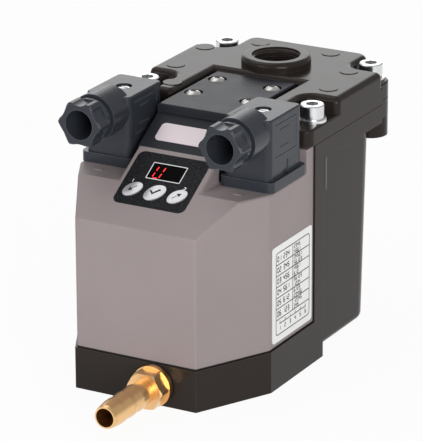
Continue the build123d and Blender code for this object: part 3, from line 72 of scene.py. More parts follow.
# Inlet thread: the liner's fit in the bore in millimetres, its grid and the thread's shape
LINER_CLEARANCE = 0.02
LINER_WALL = 0.01
LINER_START = 0.9
LINER_SHORTENING = 1.4
THREAD_COLUMNS = 96
THREAD_LEVELS_PER_PITCH = 16
THREAD_FLAT = 0.12

# Valve spring: turns, grid, and the wire's thickness at its tips as a share of the rest
COIL_TURNS = 6
COIL_STEPS_PER_TURN = 24
WIRE_SIDES = 10
WIRE_TIP = 0.02

# Window's border and lit digit, in millimetres
BORDER_INSET = 0.1
BORDER_LINE = 0.38
BORDER_CORNERS = (0.35, 0.2)
DIGIT_SIZE = (3.1, 6.5)
DIGIT_STROKE = 0.5
DIGIT_GAP = 0.42
DIGIT_LEAN = 0.12
DIGIT_PLACE = (-3.4, -0.4)
DARK_SEGMENTS = ("top", "middle")

# Key symbols and numbers, in millimetres and degrees
SYMBOL_ROOT = 0.12
KEY_TURN = 45.0
KEY_NUMBER_HEIGHT = 1.8
KEY_NUMBERS = (("1", "left_key", (-3.0, 4.5)), ("2", "right_key", (0.6, 4.5)))

# Plain numerals: width, stroke and gap as shares of the height, and their pitch in widths
NUMERAL_WIDTH = 0.55
NUMERAL_STROKE = 0.23
NUMERAL_GAP = 0.02
NUMERAL_PITCH = 1.6

# Rating plate, in millimetres: margins of the frame, rules, rows and heights of the numbers
MARGIN_LEFT = 3.0
MARGIN_RIGHT = 2.3
MARGIN_BOTTOM = 3.0
MARGIN_TOP = 3.1
FRAME_CORNER = 1.5
RULE = 0.4
PLATE_ROWS = 6
PLATE_PITCH = 4.8
FIRST_ROW_DROP = 0.3
NUMBER_INSET = 1.2
SECOND_NUMBER = 6.4
LARGE_NUMBER = 2.1
SMALL_NUMBER = 1.6
LINE_RISE = 1.1
LINE_DROP = 1.2
PLATE_DIGITS = "123456123456"
SCALE_RISE = 1.2
SCALE_INSET = 3.0
TICK_INSET = 3.4
TICK_HEIGHT = 1.4
SCALE_NUMBER = 1.7
SCALE_NUMBER_PLACE = (-0.45, -2.0)

# Stage, in metres and watts: each lamp's name, place, size and power
SHOWN_WHITE = 0.94
WORLD_STRENGTH = 0.5
LAMP_TARGET = (0, -0.05, 0.05)
LAMPS = (
    ("side_lamp", (1.1, -1.1, 0.32), (0.8, 0.7), 13.0),
    ("front_lamp", (-0.5, -1.45, 0.4), (0.8, 0.6), 5.0),
    ("back_panel", (-0.75, 1.3, 0.62), (1.2, 0.7), 4.2),
    ("top_panel", (-0.5, 0.05, 1.05), (0.8, 0.8), 2.4),
)

# Camera: azimuth, elevation and roll in degrees, then metres, and millimetres for lens and sensor
CAMERA_TURNS = (29.13, 19.92, -0.27)
CAMERA_TARGET = (0.0029, -0.062, 0.0602)
CAMERA_DISTANCE = 1.4752
CAMERA_LENS = 288.914286
CAMERA_SENSOR = 36.0
CAMERA_SHIFT = (-0.00249433, -0.00340136)
CAMERA_REACH = 20.0


# ---- Planes that the marks lie on, worked out from the frame ----
def joint_named(name):
    """The frame's joint with this name."""
    return next(joint for joint in frame["joints"] if joint["name"] == name)


class MarkPlane:
    """A flat face with an origin, an across direction, an up direction and an outward direction."""

    def __init__(self, origin, across, out):
        self.origin = np.array(origin, float)
        self.across = np.array(across, float)
        self.out = np.array(out, float)
        self.up = np.cross(self.out, self.across)

    def place(self, points):
        """Millimetre coordinates (across, up, out) to points in metres."""
        points = np.asarray(points, float) * MM
        return self.origin + points @ np.stack([self.across, self.up, self.out])


def slope_plane(node):
    """The outer face of a flat node on the slope, with its origin at the middle of the lower edge.

    The node's box is height = length sin a + thickness cos a and depth = length cos a + thickness sin a.
    """
    low, high = (np.array(corner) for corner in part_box(node))
    out = -np.array(joint_named("left_key_press")["axis"], float)
    sine, cosine = -out[1], out[2]
    depth, height = high[1] - low[1], high[2] - low[2]
    thickness = (height * cosine - depth * sine) / (cosine**2 - sine**2)
    middle = (low[0] + high[0]) / 2
    return MarkPlane((middle, low[1], low[2] + thickness * cosine), (1, 0, 0), out)


# ---- Settings ----
class DrainValveSizes(bpy.types.PropertyGroup):
    """Sizes of the pieces that the add-on makes."""

    thread_pitch: bpy.props.FloatProperty(
        name="Thread pitch",
        description="Pitch of the inlet's pipe thread",
        default=1.814 * MM,
        unit="LENGTH",
    )
    thread_depth: bpy.props.FloatProperty(
        name="Thread depth",
        description="Height of the inlet thread's ridges",
        default=1.16 * MM,
        unit="LENGTH",
    )
    spring_wire: bpy.props.FloatProperty(
        name="Spring wire",
        description="Diameter of the valve spring's wire",
        default=0.6 * MM,
        unit="LENGTH",
    )
    print_thickness: bpy.props.FloatProperty(
        name="Print thickness",
        description="How far printed marks stand proud",
        default=0.04 * MM,
        unit="LENGTH",
    )
    floor_size: bpy.props.FloatProperty(
        name="Floor size", description="Side of the square floor", default=9.0, unit="LENGTH"
    )


def colour(name, description, default):
    """A colour setting."""
    return bpy.props.FloatVectorProperty(
        name=name, description=description, subtype="COLOR", size=3, min=0, max=1, default=default
    )


class DrainValveColours(bpy.types.PropertyGroup):
    """Colours of the finishes."""

    moulding: colour("Moulding", "Reservoir and lid", (0.026, 0.02, 0.0175))
    head: colour("Head block", "Head block over the lid's recess", (0.024, 0.026, 0.033))
    cover: colour("Cover", "Front cover", (0.3, 0.252, 0.254))
    plug: colour("Plug", "Plug connectors, glands and their gaskets", (0.032, 0.036, 0.045))
    brass: colour("Brass", "Hose tail and valve seat", (0.94, 0.59, 0.27))
    zinc: colour("Zinc", "Plated screws, washers and coil yoke", (0.78, 0.79, 0.8))
    film: colour("Keypad film", "Black film round the display", (0.012, 0.0125, 0.014))
    key: colour("Key", "Pearl keys", (0.6, 0.59, 0.61))
    ink: colour("Ink", "Black printed marks", (0.015, 0.015, 0.016))
    segment: colour("Segment", "Lit display segments", (0.9, 0.01, 0.015))
    plate: colour("Plate", "White rating plate", (0.9, 0.9, 0.89))
    name_plate: colour("Name plate", "Bare silver plate", (0.7, 0.62, 0.65))
    white_ink: colour("White ink", "White printed marks", (0.8, 0.8, 0.8))
    lens: colour("Lens", "Dark window over the display", (0.0012, 0.001, 0.001))
    rubber: colour("Rubber", "Seals, grommets and the cover's gasket", (0.012, 0.012, 0.012))
    stainless: colour("Stainless", "Dome screws and steel parts of the valve", (0.62, 0.6, 0.58))
    tin: colour("Tin", "Contact blades", (0.7, 0.68, 0.64))
    inner: colour("Inner parts", "Black mouldings inside the housing", (0.015, 0.015, 0.016))
    board: colour("Board", "Circuit board", (0.02, 0.12, 0.045))
    insert: colour("Insert", "Terminal inserts in the plugs", (0.12, 0.12, 0.12))
    nylon: colour("Nylon", "Strainer", (0.55, 0.53, 0.48))
    sheath: colour("Sheath", "Sheath of the level probe", (0.65, 0.64, 0.6))
    floor: colour("Floor", "Floor in the light of the lamps", (0.86, 0.86, 0.86))


# ---- Meshes from numpy arrays ----
def make_piece(name, points, faces, material, body="root", smooth=True):
    """Mesh object from points in metres and faces; it rides on a body."""
    mesh = bpy.data.meshes.new(name)
    mesh.from_pydata(np.asarray(points).reshape(-1, 3).tolist(), [], faces)
    mesh.validate()
    mesh.polygons.foreach_set("use_smooth", np.full(len(mesh.polygons), smooth))
    mesh.materials.append(material)
    piece = bpy.data.objects.new(name, mesh)
    bpy.context.scene.collection.objects.link(piece)
    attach(piece, body)
    return piece


def wrapped_faces(rows, columns):
    """Quads of a grid that closes on itself both ways."""
    i, j = np.meshgrid(np.arange(rows), np.arange(columns), indexing="ij")
    down, right = (i + 1) % rows, (j + 1) % columns
    corners = [i * columns + j, i * columns + right, down * columns + right, down * columns + j]
    return np.stack(corners, -1).reshape(-1, 4).tolist()


def flat_band(outer, inner, thickness):
    """Points and faces of a flat closed band between two outlines with as many points.

    Four rings, inner low, outer low, outer high and inner high, make a tube of rectangular section.
    """
    low, high = np.zeros(len(outer)), np.full(len(outer), thickness)
    rings = [np.column_stack(ring) for ring in ((inner, low), (outer, low), (outer, high), (inner, high))]
    return np.concatenate(rings), wrapped_faces(4, len(outer))


def rounded_outline(width, height, corner, steps=6):
    """Rounded rectangle about the origin: at each corner a quarter circle of the corner's radius."""
    quarter = np.linspace(0, np.pi / 2, steps)
    centres = np.array([(1, 1), (-1, 1), (-1, -1), (1, -1)]) * (width / 2 - corner, height / 2 - corner)
    angles = quarter[None, :] + np.arange(4)[:, None] * np.pi / 2
    arcs = corner * np.stack([np.cos(angles), np.sin(angles)], -1)
    return (centres[:, None, :] + arcs).reshape(-1, 2)


def slab(outline, thickness):
    """Points and faces of a flat closed plate over a convex outline, with a fan over each side."""
    count = len(outline)
    middle = outline.mean(0)
    rings = [np.column_stack((outline, np.full(count, level))) for level in (0, thickness)]
    points = np.concatenate([*rings, [(*middle, 0), (*middle, thickness)]])
    near = np.arange(count)
    following = (near + 1) % count
    walls = np.stack([near, following, following + count, near + count], -1).tolist()
    bottom = np.stack([following, near, np.full(count, 2 * count)], -1).tolist()
    top = np.stack([near + count, following + count, np.full(count, 2 * count + 1)], -1).tolist()
    return points, walls + bottom + top


def printed(name, plane, shapes, material, body="root"):
    """One object of flat marks on a plane: each shape is points in millimetres and faces."""
    points, faces, start = [], [], 0
    for shape_points, shape_faces in shapes:
        points.append(plane.place(shape_points))
        faces += [[start + index for index in face] for face in shape_faces]
        start += len(shape_points)
    return make_piece(name, np.concatenate(points), faces, material, body, smooth=False)


# ---- Shader groups ----
def new_group(name, inputs, outputs):
    """Shader group with named sockets, and its input and output nodes."""
    group = bpy.data.node_groups.new(name, "ShaderNodeTree")
    for label, kind, value in inputs:
        group.interface.new_socket(label, in_out="INPUT", socket_type=kind).default_value = value
    for label, kind in outputs:
        group.interface.new_socket(label, in_out="OUTPUT", socket_type=kind)
    return group, group.nodes.new("NodeGroupInput"), group.nodes.new("NodeGroupOutput")


def add(tree, kind, values=None, **settings):
    """Node of a kind, with socket values by name or index and plain settings."""
    node = tree.nodes.new(kind)
    for key, value in settings.items():
        setattr(node, key, value)
    for key, value in (values or {}).items():
        node.inputs[key].default_value = value
    return node


def feed(tree, socket, value):
    """Gives an input socket a link if the value is another node's output, or else the plain value."""
    if isinstance(value, bpy.types.NodeSocket):
        tree.links.new(value, socket)
    else:
        socket.default_value = value


def math_node(tree, operation, first, second):
    """Output of a math node on two sockets or numbers."""
    node = add(tree, "ShaderNodeMath", operation=operation)
    feed(tree, node.inputs[0], first)
    feed(tree, node.inputs[1], second)
    return node.outputs[0]


def mixed(tree, share, first, second):
    """Output of a mix of two colours; the share and the colours are sockets or values."""
    mix = add(tree, "ShaderNodeMix", data_type="RGBA")
    feed(tree, mix.inputs["Factor"], share)
    feed(tree, mix.inputs["A"], first)
    feed(tree, mix.inputs["B"], second)
    return mix.outputs["Result"]


def noise(tree, scale, detail=2.0, roughness=0.5, stretch=(1, 1, 1)):
    """Noise factor on Object coordinates in millimetres; the scale is a socket or a number."""
    place = add(tree, "ShaderNodeTexCoord").outputs["Object"]
    mapping = add(tree, "ShaderNodeMapping", {"Scale": tuple(value / MM for value in stretch)})
    texture = add(tree, "ShaderNodeTexNoise", {"Detail": detail, "Roughness": roughness})
    tree.links.new(place, mapping.inputs["Vector"])
    tree.links.new(mapping.outputs["Vector"], texture.inputs["Vector"])
    feed(tree, texture.inputs["Scale"], scale)
    return texture.outputs["Fac"]


def grain_group():
    """Moulded grain: fine noise and a coarser one, mixed, as a height from 0 to 1."""
    group, source, result = new_group(
        "moulded_grain",
        [("Fineness", "NodeSocketFloat", 1.6), ("Coarse share", "NodeSocketFloat", 0.35)],
        [("Height", "NodeSocketFloat")],
    )
    fine = noise(group, source.outputs["Fineness"], detail=3.0, roughness=0.6)
    coarse = noise(group, scale=0.22)
    share = source.outputs["Coarse share"]
    fine_part = math_node(group, "MULTIPLY", fine, math_node(group, "SUBTRACT", 1.0, share))
    total = math_node(group, "ADD", fine_part, math_node(group, "MULTIPLY", coarse, share))
    group.links.new(total, result.inputs["Height"])
    return group


def drift_group():
    """Slow change of tone over the surface: the colour moves towards a second one in soft patches."""
    group, source, result = new_group(
        "tone_drift",
        [
            ("Base", "NodeSocketColor", (0.5, 0.5, 0.5, 1)),
            ("Shade", "NodeSocketColor", (0.4, 0.4, 0.4, 1)),
            ("Patch scale", "NodeSocketFloat", 0.05),
            ("Amount", "NodeSocketFloat", 0.5),
        ],
        [("Color", "NodeSocketColor")],
    )
    patches = noise(group, source.outputs["Patch scale"], detail=4.0, roughness=0.55)
    amount = math_node(group, "MULTIPLY", patches, source.outputs["Amount"])
    tone = mixed(group, amount, source.outputs["Base"], source.outputs["Shade"])
    group.links.new(tone, result.inputs["Color"])
    return group


def polish_group():
    """Roughness that varies between two values with handling marks."""
    group, source, result = new_group(
        "uneven_polish",
        [
            ("Low", "NodeSocketFloat", 0.3),
            ("High", "NodeSocketFloat", 0.5),
            ("Mark scale", "NodeSocketFloat", 0.12),
        ],
        [("Roughness", "NodeSocketFloat")],
    )
    marks = noise(group, source.outputs["Mark scale"], detail=5.0, roughness=0.65)
    spread = math_node(group, "SUBTRACT", source.outputs["High"], source.outputs["Low"])
    value = math_node(group, "ADD", source.outputs["Low"], math_node(group, "MULTIPLY", marks, spread))
    group.links.new(value, result.inputs["Roughness"])
    return group


def edge_group():
    """Mask of a painted highlight near sharp edges: how far a rounded normal turns from the true one, broken up in
    patches.
    """
    group, source, result = new_group(
        "edge_rub",
        [("Strength", "NodeSocketFloat", 6.0)],
        [("Mask", "NodeSocketFloat")],
    )
    # Painted highlight: this mask marks where a lamp's glint on a rounded edge would fall
    bevel = add(group, "ShaderNodeBevel", {"Radius": EDGE_RADIUS * MM}, samples=4)
    normal = add(group, "ShaderNodeNewGeometry").outputs["Normal"]
    dot = add(group, "ShaderNodeVectorMath", operation="DOT_PRODUCT")
    group.links.new(bevel.outputs["Normal"], dot.inputs[0])
    group.links.new(normal, dot.inputs[1])
    turn = math_node(group, "SUBTRACT", 1.0, dot.outputs["Value"])
    rub = math_node(group, "MULTIPLY", turn, source.outputs["Strength"])
    patches = noise(group, scale=0.9, detail=4.0, roughness=0.7)
    broken = math_node(group, "MULTIPLY", rub, patches)
    group.links.new(math_node(group, "MINIMUM", broken, 1.0), result.inputs["Mask"])
    return group


def streak_group():
    """Fine upright streaks, as a drawn or machined face has, from 0 to 1."""
    group, source, result = new_group(
        "upright_streaks",
        [("Fineness", "NodeSocketFloat", 1.0)],
        [("Streak", "NodeSocketFloat")],
    )
    fineness = source.outputs["Fineness"]
    streaks = noise(group, fineness, detail=5.0, roughness=0.7, stretch=(1.0, 1.0, 0.02))
    group.links.new(streaks, result.inputs["Streak"])
    return group


def turned_group():
    """Fine rings round a lengthwise axis, as a lathe leaves, from 0 to 1."""
    group, source, result = new_group(
        "turned_rings",
        [("Fineness", "NodeSocketFloat", 2.0)],
        [("Ring", "NodeSocketFloat")],
    )
    fineness = source.outputs["Fineness"]
    rings = noise(group, fineness, detail=3.0, roughness=0.6, stretch=(0.02, 1.0, 0.02))
    group.links.new(rings, result.inputs["Ring"])
    return group


GROUP_MAKERS = {
    "moulded_grain": grain_group,
    "tone_drift": drift_group,
    "uneven_polish": polish_group,
    "edge_rub": edge_group,
    "upright_streaks": streak_group,
    "turned_rings": turned_group,
}


def group_node(tree, name, values=None):
    """A shared shader group placed in a material; it is built the first time it is used."""
    group = bpy.data.node_groups.get(name) or GROUP_MAKERS[name]()
    return add(tree, "ShaderNodeGroup", values, node_tree=group)


# ---- Materials ----
def rgba(value, factor=1.0):
    """Colour with an alpha of one, made lighter or darker by a factor."""
    return (*[min(channel * factor, 1.0) for channel in value], 1.0)


def new_material(name, **shader):
    """Material with a Principled shader; shader values by socket name."""
    material = bpy.data.materials.new(PREFIX + name)
    material.use_nodes = True
    principled = material.node_tree.nodes["Principled BSDF"]
    for key, value in shader.items():
        principled.inputs[key.replace("_", " ")].default_value = value
    return material, material.node_tree, principled


def add_bump(tree, principled, heights):
    """Chain of Bump nodes into Normal: each height is a socket with its depth in millimetres."""
    normal = None
    for socket, depth in heights:
        bump = add(tree, "ShaderNodeBump", {"Strength": 1.0, "Distance": depth * MM})
        tree.links.new(socket, bump.inputs["Height"])
        if normal:
            tree.links.new(normal, bump.inputs["Normal"])
        normal = bump.outputs["Normal"]
    tree.links.new(normal, principled.inputs["Normal"])


def drift_colour(tree, base, darkening, patch_scale, amount):
    """Output of the tone drift between a colour and the same colour made darker."""
    values = {
        "Base": rgba(base),
        "Shade": rgba(base, factor=darkening),
        "Patch scale": patch_scale,
        "Amount": amount,
    }
    return group_node(tree, "tone_drift", values).outputs["Color"]


def polished(tree, principled, roughness, mark_scale=0.12):
    """Feeds Roughness with handling marks between a low and a high value."""
    low, high = roughness
    values = {"Low": low, "High": high, "Mark scale": mark_scale}
    polish = group_node(tree, "uneven_polish", values)
    tree.links.new(polish.outputs["Roughness"], principled.inputs["Roughness"])


def grained(name, roughness, grain, fineness=1.6, gloss=0.3, metallic=0.0, streaks=0.0):
    """Material with an uneven polish and a moulded grain; its maker adds the colour.

    Grain and streaks are depths in millimetres, and gloss is the strength of the clear reflection.
    """
    material, tree, principled = new_material(name, Specular_IOR_Level=gloss, Metallic=metallic)
    polished(tree, principled, roughness)
    height = group_node(tree, "moulded_grain", {"Fineness": fineness}).outputs["Height"]
    heights = [(height, grain)]
    if streaks:
        streak = group_node(tree, "upright_streaks", {"Fineness": 0.9}).outputs["Streak"]
        heights.append((streak, streaks))
    add_bump(tree, principled, heights)
    return material, tree, principled


def moulded(name, base, roughness, grain, edge_highlight_factor=1.8, rub=3.0, **surface):
    """Grained material whose colour drifts, and turns lighter by a factor near sharp edges: a painted highlight on
    the rounded edges.
    """
    material, tree, principled = grained(name, roughness, grain, **surface)
    tone = drift_colour(tree, base, darkening=0.8, patch_scale=0.045, amount=0.55)
    edges = group_node(tree, "edge_rub", {"Strength": rub}).outputs["Mask"]
    # Painted highlight: near sharp edges the colour turns lighter by the given factor
    tree.links.new(mixed(tree, edges, tone, rgba(base, factor=edge_highlight_factor)), principled.inputs["Base Color"])
    return material


def plated(name, base, roughness, rings=0.006, darkening=0.75):
    """Bright metal with turned rings, a little dulled in patches; rings is their depth in millimetres."""
    material, tree, principled = new_material(name, Metallic=1.0)
    tone = drift_colour(tree, base, darkening=darkening, patch_scale=0.35, amount=0.7)
    tree.links.new(tone, principled.inputs["Base Color"])
    polished(tree, principled, roughness, mark_scale=0.5)
    ring = group_node(tree, "turned_rings").outputs["Ring"]
    grain = group_node(tree, "moulded_grain", {"Fineness": 0.8}).outputs["Height"]
    add_bump(tree, principled, [(ring, rings), (grain, rings)])
    return material


def black_moulding(colours):
    """Reservoir and lid: brownish black, satin, with faint upright streaks."""
    return moulded(
        "black_moulding",
        colours.moulding,
        roughness=(0.14, 0.24),
        grain=0.015,
        fineness=1.3,
        # Edges painted much lighter by these two values: a painted highlight along the rounded edges
        edge_highlight_factor=3.5,
        rub=4.0,
        gloss=0.14,
        streaks=0.008,
    )


def head_moulding(colours):
    """Head block: bluish black and matte."""
    return moulded(
        "head_moulding",
        colours.head,
        roughness=(0.3, 0.42),
        grain=0.02,
        fineness=1.8,
        # Edges painted lighter by this factor: a painted highlight along the rounded edges
        edge_highlight_factor=3.0,
        gloss=0.1,
    )


def cover_grey(colours):
    """Front cover: warm grey, with a fine grain."""
    return moulded(
        "cover_grey",
        colours.cover,
        roughness=(0.42, 0.52),
        grain=0.02,
        fineness=2.2,
        edge_highlight_factor=1.15,
        rub=1.5,
    )


def plug_black(colours):
    """Plug connectors, glands and gaskets under them: bluish black, with a painted highlight on the edges."""
    return moulded(
        "plug_black",
        colours.plug,
        roughness=(0.18, 0.28),
        grain=0.015,
        fineness=1.8,
        # Edges painted much lighter by these two values: a painted highlight along the rounded edges
        edge_highlight_factor=4.0,
        rub=5.0,
        gloss=0.22,
    )


def seal_rubber(colours):
    """Seals, grommets and the cover's gasket: dull black rubber."""
    return moulded(
        "seal_rubber",
        colours.rubber,
        roughness=(0.6, 0.75),
        grain=0.02,
        fineness=1.2,
        edge_highlight_factor=1.3,
        rub=1.0,
    )


def zinc_steel(colours):
    """Plated screws, washers and the coil's yoke."""
    return plated("zinc_steel", colours.zinc, roughness=(0.16, 0.34))


def stainless(colours):
    """Dome screws of the head block, and steel parts of the valve."""
    return plated("stainless", colours.stainless, roughness=(0.22, 0.4))


def brass(colours):
    """Lacquered brass with darker turning marks round it."""
    material = plated("brass", colours.brass, roughness=(0.24, 0.38), rings=0.016, darkening=0.85)
    tree = material.node_tree
    principled = tree.nodes["Principled BSDF"]
    principled.inputs["Coat Weight"].default_value = 0.2
    principled.inputs["Coat Roughness"].default_value = 0.22
    plain = principled.inputs["Base Color"].links[0].from_socket
    ring = group_node(tree, "turned_rings", {"Fineness": 1.4}).outputs["Ring"]
    share = add(tree, "ShaderNodeMapRange", {"From Min": 0.5, "From Max": 0.7, "To Max": 0.25})
    tree.links.new(ring, share.inputs["Value"])
    marked = mixed(tree, share.outputs["Result"], plain, rgba(colours.brass, factor=0.5))
    tree.links.new(marked, principled.inputs["Base Color"])
    return material


def contact_tin(colours):
    """Tinned contact blades."""
    return plated("contact_tin", colours.tin, roughness=(0.25, 0.4))


def keypad_film(colours):
    """Black film with a fine pale speckle."""
    material, tree, principled = grained(
        "keypad_film", roughness=(0.42, 0.5), grain=0.02, fineness=2.5, gloss=0.06
    )
    share = add(tree, "ShaderNodeMapRange", {"From Min": 0.42, "From Max": 0.66})
    speckle = noise(tree, scale=2.1, detail=3.0, roughness=0.6)
    tree.links.new(speckle, share.inputs["Value"])
    dark, pale = rgba(colours.film, factor=0.4), rgba(colours.film, factor=2.8)
    speckled = mixed(tree, share.outputs["Result"], dark, pale)
    tree.links.new(speckled, principled.inputs["Base Color"])
    return material


def key_white(colours):
    """Pearl lacquer: half metallic, so the domes darken towards their rims."""
    return moulded(
        "key_white",
        colours.key,
        roughness=(0.2, 0.3),
        grain=0.006,
        fineness=1.0,
        edge_highlight_factor=1.05,
        rub=0.5,
        gloss=0.6,
        metallic=0.5,
    )


def flat_film(name, base, gloss=0.3):
    """Smooth print or film without a painted edge highlight."""
    return moulded(
        name, base, roughness=(0.35, 0.45), grain=0.002, fineness=1.0, edge_highlight_factor=1.0, rub=0.0, gloss=gloss
    )


def lens_clear(colours):
    """Dark window: a film that is nearly black."""
    return flat_film("lens_clear", colours.lens, gloss=0.02)


def ink(colours):
    """Black print."""
    return flat_film("ink", colours.ink)


def white_ink(colours):
    """White print."""
    return flat_film("white_ink", colours.white_ink)


def plate_white(colours):
    """Rating plate: white film."""
    return moulded(
        "plate_white",
        colours.plate,
        roughness=(0.3, 0.4),
        grain=0.004,
        fineness=1.0,
        edge_highlight_factor=1.0,
        rub=0.2,
    )


def plate_silver(colours):
    """Name plate: bare satin foil with a fine grain."""
    return moulded(
        "plate_silver",
        colours.name_plate,
        roughness=(0.3, 0.4),
        grain=0.006,
        fineness=3.0,
        edge_highlight_factor=1.0,
        rub=0.3,
        metallic=0.3,
    )


def plain_black(name, colours):
    """Black moulded part inside the housing."""
    return moulded(name, colours.inner, roughness=(0.4, 0.55), grain=0.02)


def display_black(colours):
    """Body of the display module."""
    return plain_black("display_black", colours)


def switch_black(colours):
    """Bodies of the key switches."""
    return plain_black("switch_black", colours)


def insulator_black(colours):
    """Socket bases under the plugs."""
    return plain_black("insulator_black", colours)


def coil_black(colours):
    """Potted coil of the valve."""
    return plain_black("coil_black", colours)


def board_green(colours):
    """Circuit board."""
    return moulded("board_green", colours.board, roughness=(0.3, 0.4), grain=0.01)


def insert_grey(colours):
    """Terminal inserts in the plugs."""
    return moulded("insert_grey", colours.insert, roughness=(0.4, 0.5), grain=0.02)


def filter_nylon(colours):
    """Strainer."""
    return moulded("filter_nylon", colours.nylon, roughness=(0.4, 0.5), grain=0.02)


def probe_ptfe(colours):
    """Sheath of the level probe."""
    return moulded("probe_ptfe", colours.sheath, roughness=(0.3, 0.4), grain=0.01)


def lit_segment(colours):
    """Lit display segment: red with a soft glow that varies a little along it."""
    material, tree, principled = new_material("lit_segment", Roughness=0.4, Emission_Strength=0.9)
    glow = drift_colour(tree, colours.segment, darkening=0.75, patch_scale=0.8, amount=0.5)
    tree.links.new(glow, principled.inputs["Base Color"])
    tree.links.new(glow, principled.inputs["Emission Color"])
    return material


FINISH_MAKERS = (
    black_moulding,
    head_moulding,
    cover_grey,
    plug_black,
    seal_rubber,
    zinc_steel,
    stainless,
    brass,
    contact_tin,
    keypad_film,
    key_white,
    lens_clear,
    ink,
    white_ink,
    plate_white,
    plate_silver,
    display_black,
    switch_black,
    insulator_black,
    coil_black,
    board_green,
    insert_grey,
    filter_nylon,
    probe_ptfe,
    lit_segment,
)
FINISHES = {maker.__name__: maker for maker in FINISH_MAKERS}


def finish(name):
    """The material of a finish, made the first time it is asked for."""
    made = bpy.data.materials.get(PREFIX + name)
    return made or FINISHES[name](bpy.context.scene.drain_valve_colours)


# ---- Operators ----
class DRAINVALVE_OT_finishes(bpy.types.Operator):
    """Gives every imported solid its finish"""

    bl_idname = "drain_valve.finishes"
    bl_label = "Finishes"

    def execute(self, context):
        for subpart in frame["record"]["subparts"]:
            node = frame["nodes"][subpart["node"]]
            material = finish(subpart["material_slot"])
            if not node.data.materials:
                node.data.materials.append(material)
            for index in range(len(node.data.materials)):
                node.data.materials[index] = material
        return {"FINISHED"}


class DRAINVALVE_OT_inlet_thread(bpy.types.Operator):
    """Lines the inlet with the ridges of its pipe thread"""

    bl_idname = "drain_valve.inlet_thread"
    bl_label = "Inlet thread"

    def execute(self, context):
        sizes = context.scene.drain_valve_sizes
        inlet = next(mount for mount in frame["record"]["mounts"] if mount["name"] == "inlet")
        major = (inlet["dims"]["r_mm"] - LINER_CLEARANCE) * MM
        length = (inlet["dims"]["length_mm"] - LINER_SHORTENING) * MM
        top = inlet["pos_m"][2] - LINER_START * MM
        points, faces = thread_liner(major, sizes.thread_depth, sizes.thread_pitch, top, length)
        piece = make_piece("inlet_thread", points, faces, finish("black_moulding"))
        return {"FINISHED"}


def thread_liner(major, depth, pitch, top, length):
    """Closed liner whose inner side is a thread.

    With phase p = drop / pitch - angle / turn, the inner radius is major minus depth times the wave
    0.5 + 0.5 cos(2 pi p), which is cut flat at crest and root. It fades out over the first and last half
    pitch. The outer side is a plain cylinder of the major radius.
    """
    levels = int(length / pitch * THREAD_LEVELS_PER_PITCH)
    angle = np.linspace(0, 2 * np.pi, THREAD_COLUMNS, endpoint=False)[None, :]
    drop = np.linspace(0, length, levels)[:, None]
    phase = drop / pitch - angle / (2 * np.pi)
    cosine = 0.5 + 0.5 * np.cos(2 * np.pi * phase)
    wave = np.clip((cosine - THREAD_FLAT) / (1 - 2 * THREAD_FLAT), 0, 1)
    fade = np.clip(np.minimum(drop, length - drop) / (pitch / 2), 0, 1)
    inner = ring_points(major - LINER_WALL * MM - depth * wave * fade, angle, top - drop)
    outer = ring_points(major, angle, np.array([[top - length], [top]]))
    return np.concatenate([inner, outer]), wrapped_faces(levels + 2, THREAD_COLUMNS)


def ring_points(radius, angle, height):
    """Points on circles about the vertical axis, one row for each height."""
    radius, angle, height = np.broadcast_arrays(radius, angle, height)
    return np.stack([radius * np.cos(angle), radius * np.sin(angle), height], -1)


class DRAINVALVE_OT_coil_spring(bpy.types.Operator):
    """Winds the valve's spring in place of the solid one, at its rest length; the real spring shortens as the
    plunger lifts
    """

    bl_idname = "drain_valve.coil_spring"
    bl_label = "Coil spring"

    def execute(self, context):
        low, high = (np.array(corner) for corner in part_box("valve_spring"))
        wire = context.scene.drain_valve_sizes.spring_wire / 2
        radius = (high[0] - low[0]) / 2 - wire
        middle = (low + high) / 2
        points, faces = coil(middle, radius, wire, low[2] + wire, high[2] - wire)
        piece = make_piece("coil_spring", points, faces, finish("stainless"))
        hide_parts("valve_spring")
        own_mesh(piece)
        return {"FINISHED"}


def coil(middle, radius, wire, low, high):
    """Closed round wire along a helix.

    At turn angle t the wire's middle is (radius cos t, radius sin t) about the axis, and rises evenly
    from low to high. A section is a circle across the outward and upward directions. The first and the
    last one are a small share of the wire's radius, and a flat face closes each.
    """
    rings = COIL_STEPS_PER_TURN * COIL_TURNS
    turn = np.linspace(0, 2 * np.pi * COIL_TURNS, rings)[:, None]
    section = np.linspace(0, 2 * np.pi, WIRE_SIDES, endpoint=False)[None, :]
    thickness = np.full((rings, 1), wire)
    thickness[[0, -1]] = wire * WIRE_TIP
    reach = radius + thickness * np.cos(section)
    height = low + (high - low) * turn / turn[-1] + thickness * np.sin(section)
    points = ring_points(reach, turn, height) + (middle[0], middle[1], 0)
    ring, side = np.meshgrid(np.arange(rings - 1), np.arange(WIRE_SIDES), indexing="ij")
    here, there = ring * WIRE_SIDES, (ring + 1) * WIRE_SIDES
    beside = (side + 1) % WIRE_SIDES
    walls = np.stack([here + side, there + side, there + beside, here + beside], -1)
    last = (rings - 1) * WIRE_SIDES
    ends = [list(range(WIRE_SIDES)), list(range(last + WIRE_SIDES - 1, last - 1, -1))]
    return points, walls.reshape(-1, 4).tolist() + ends


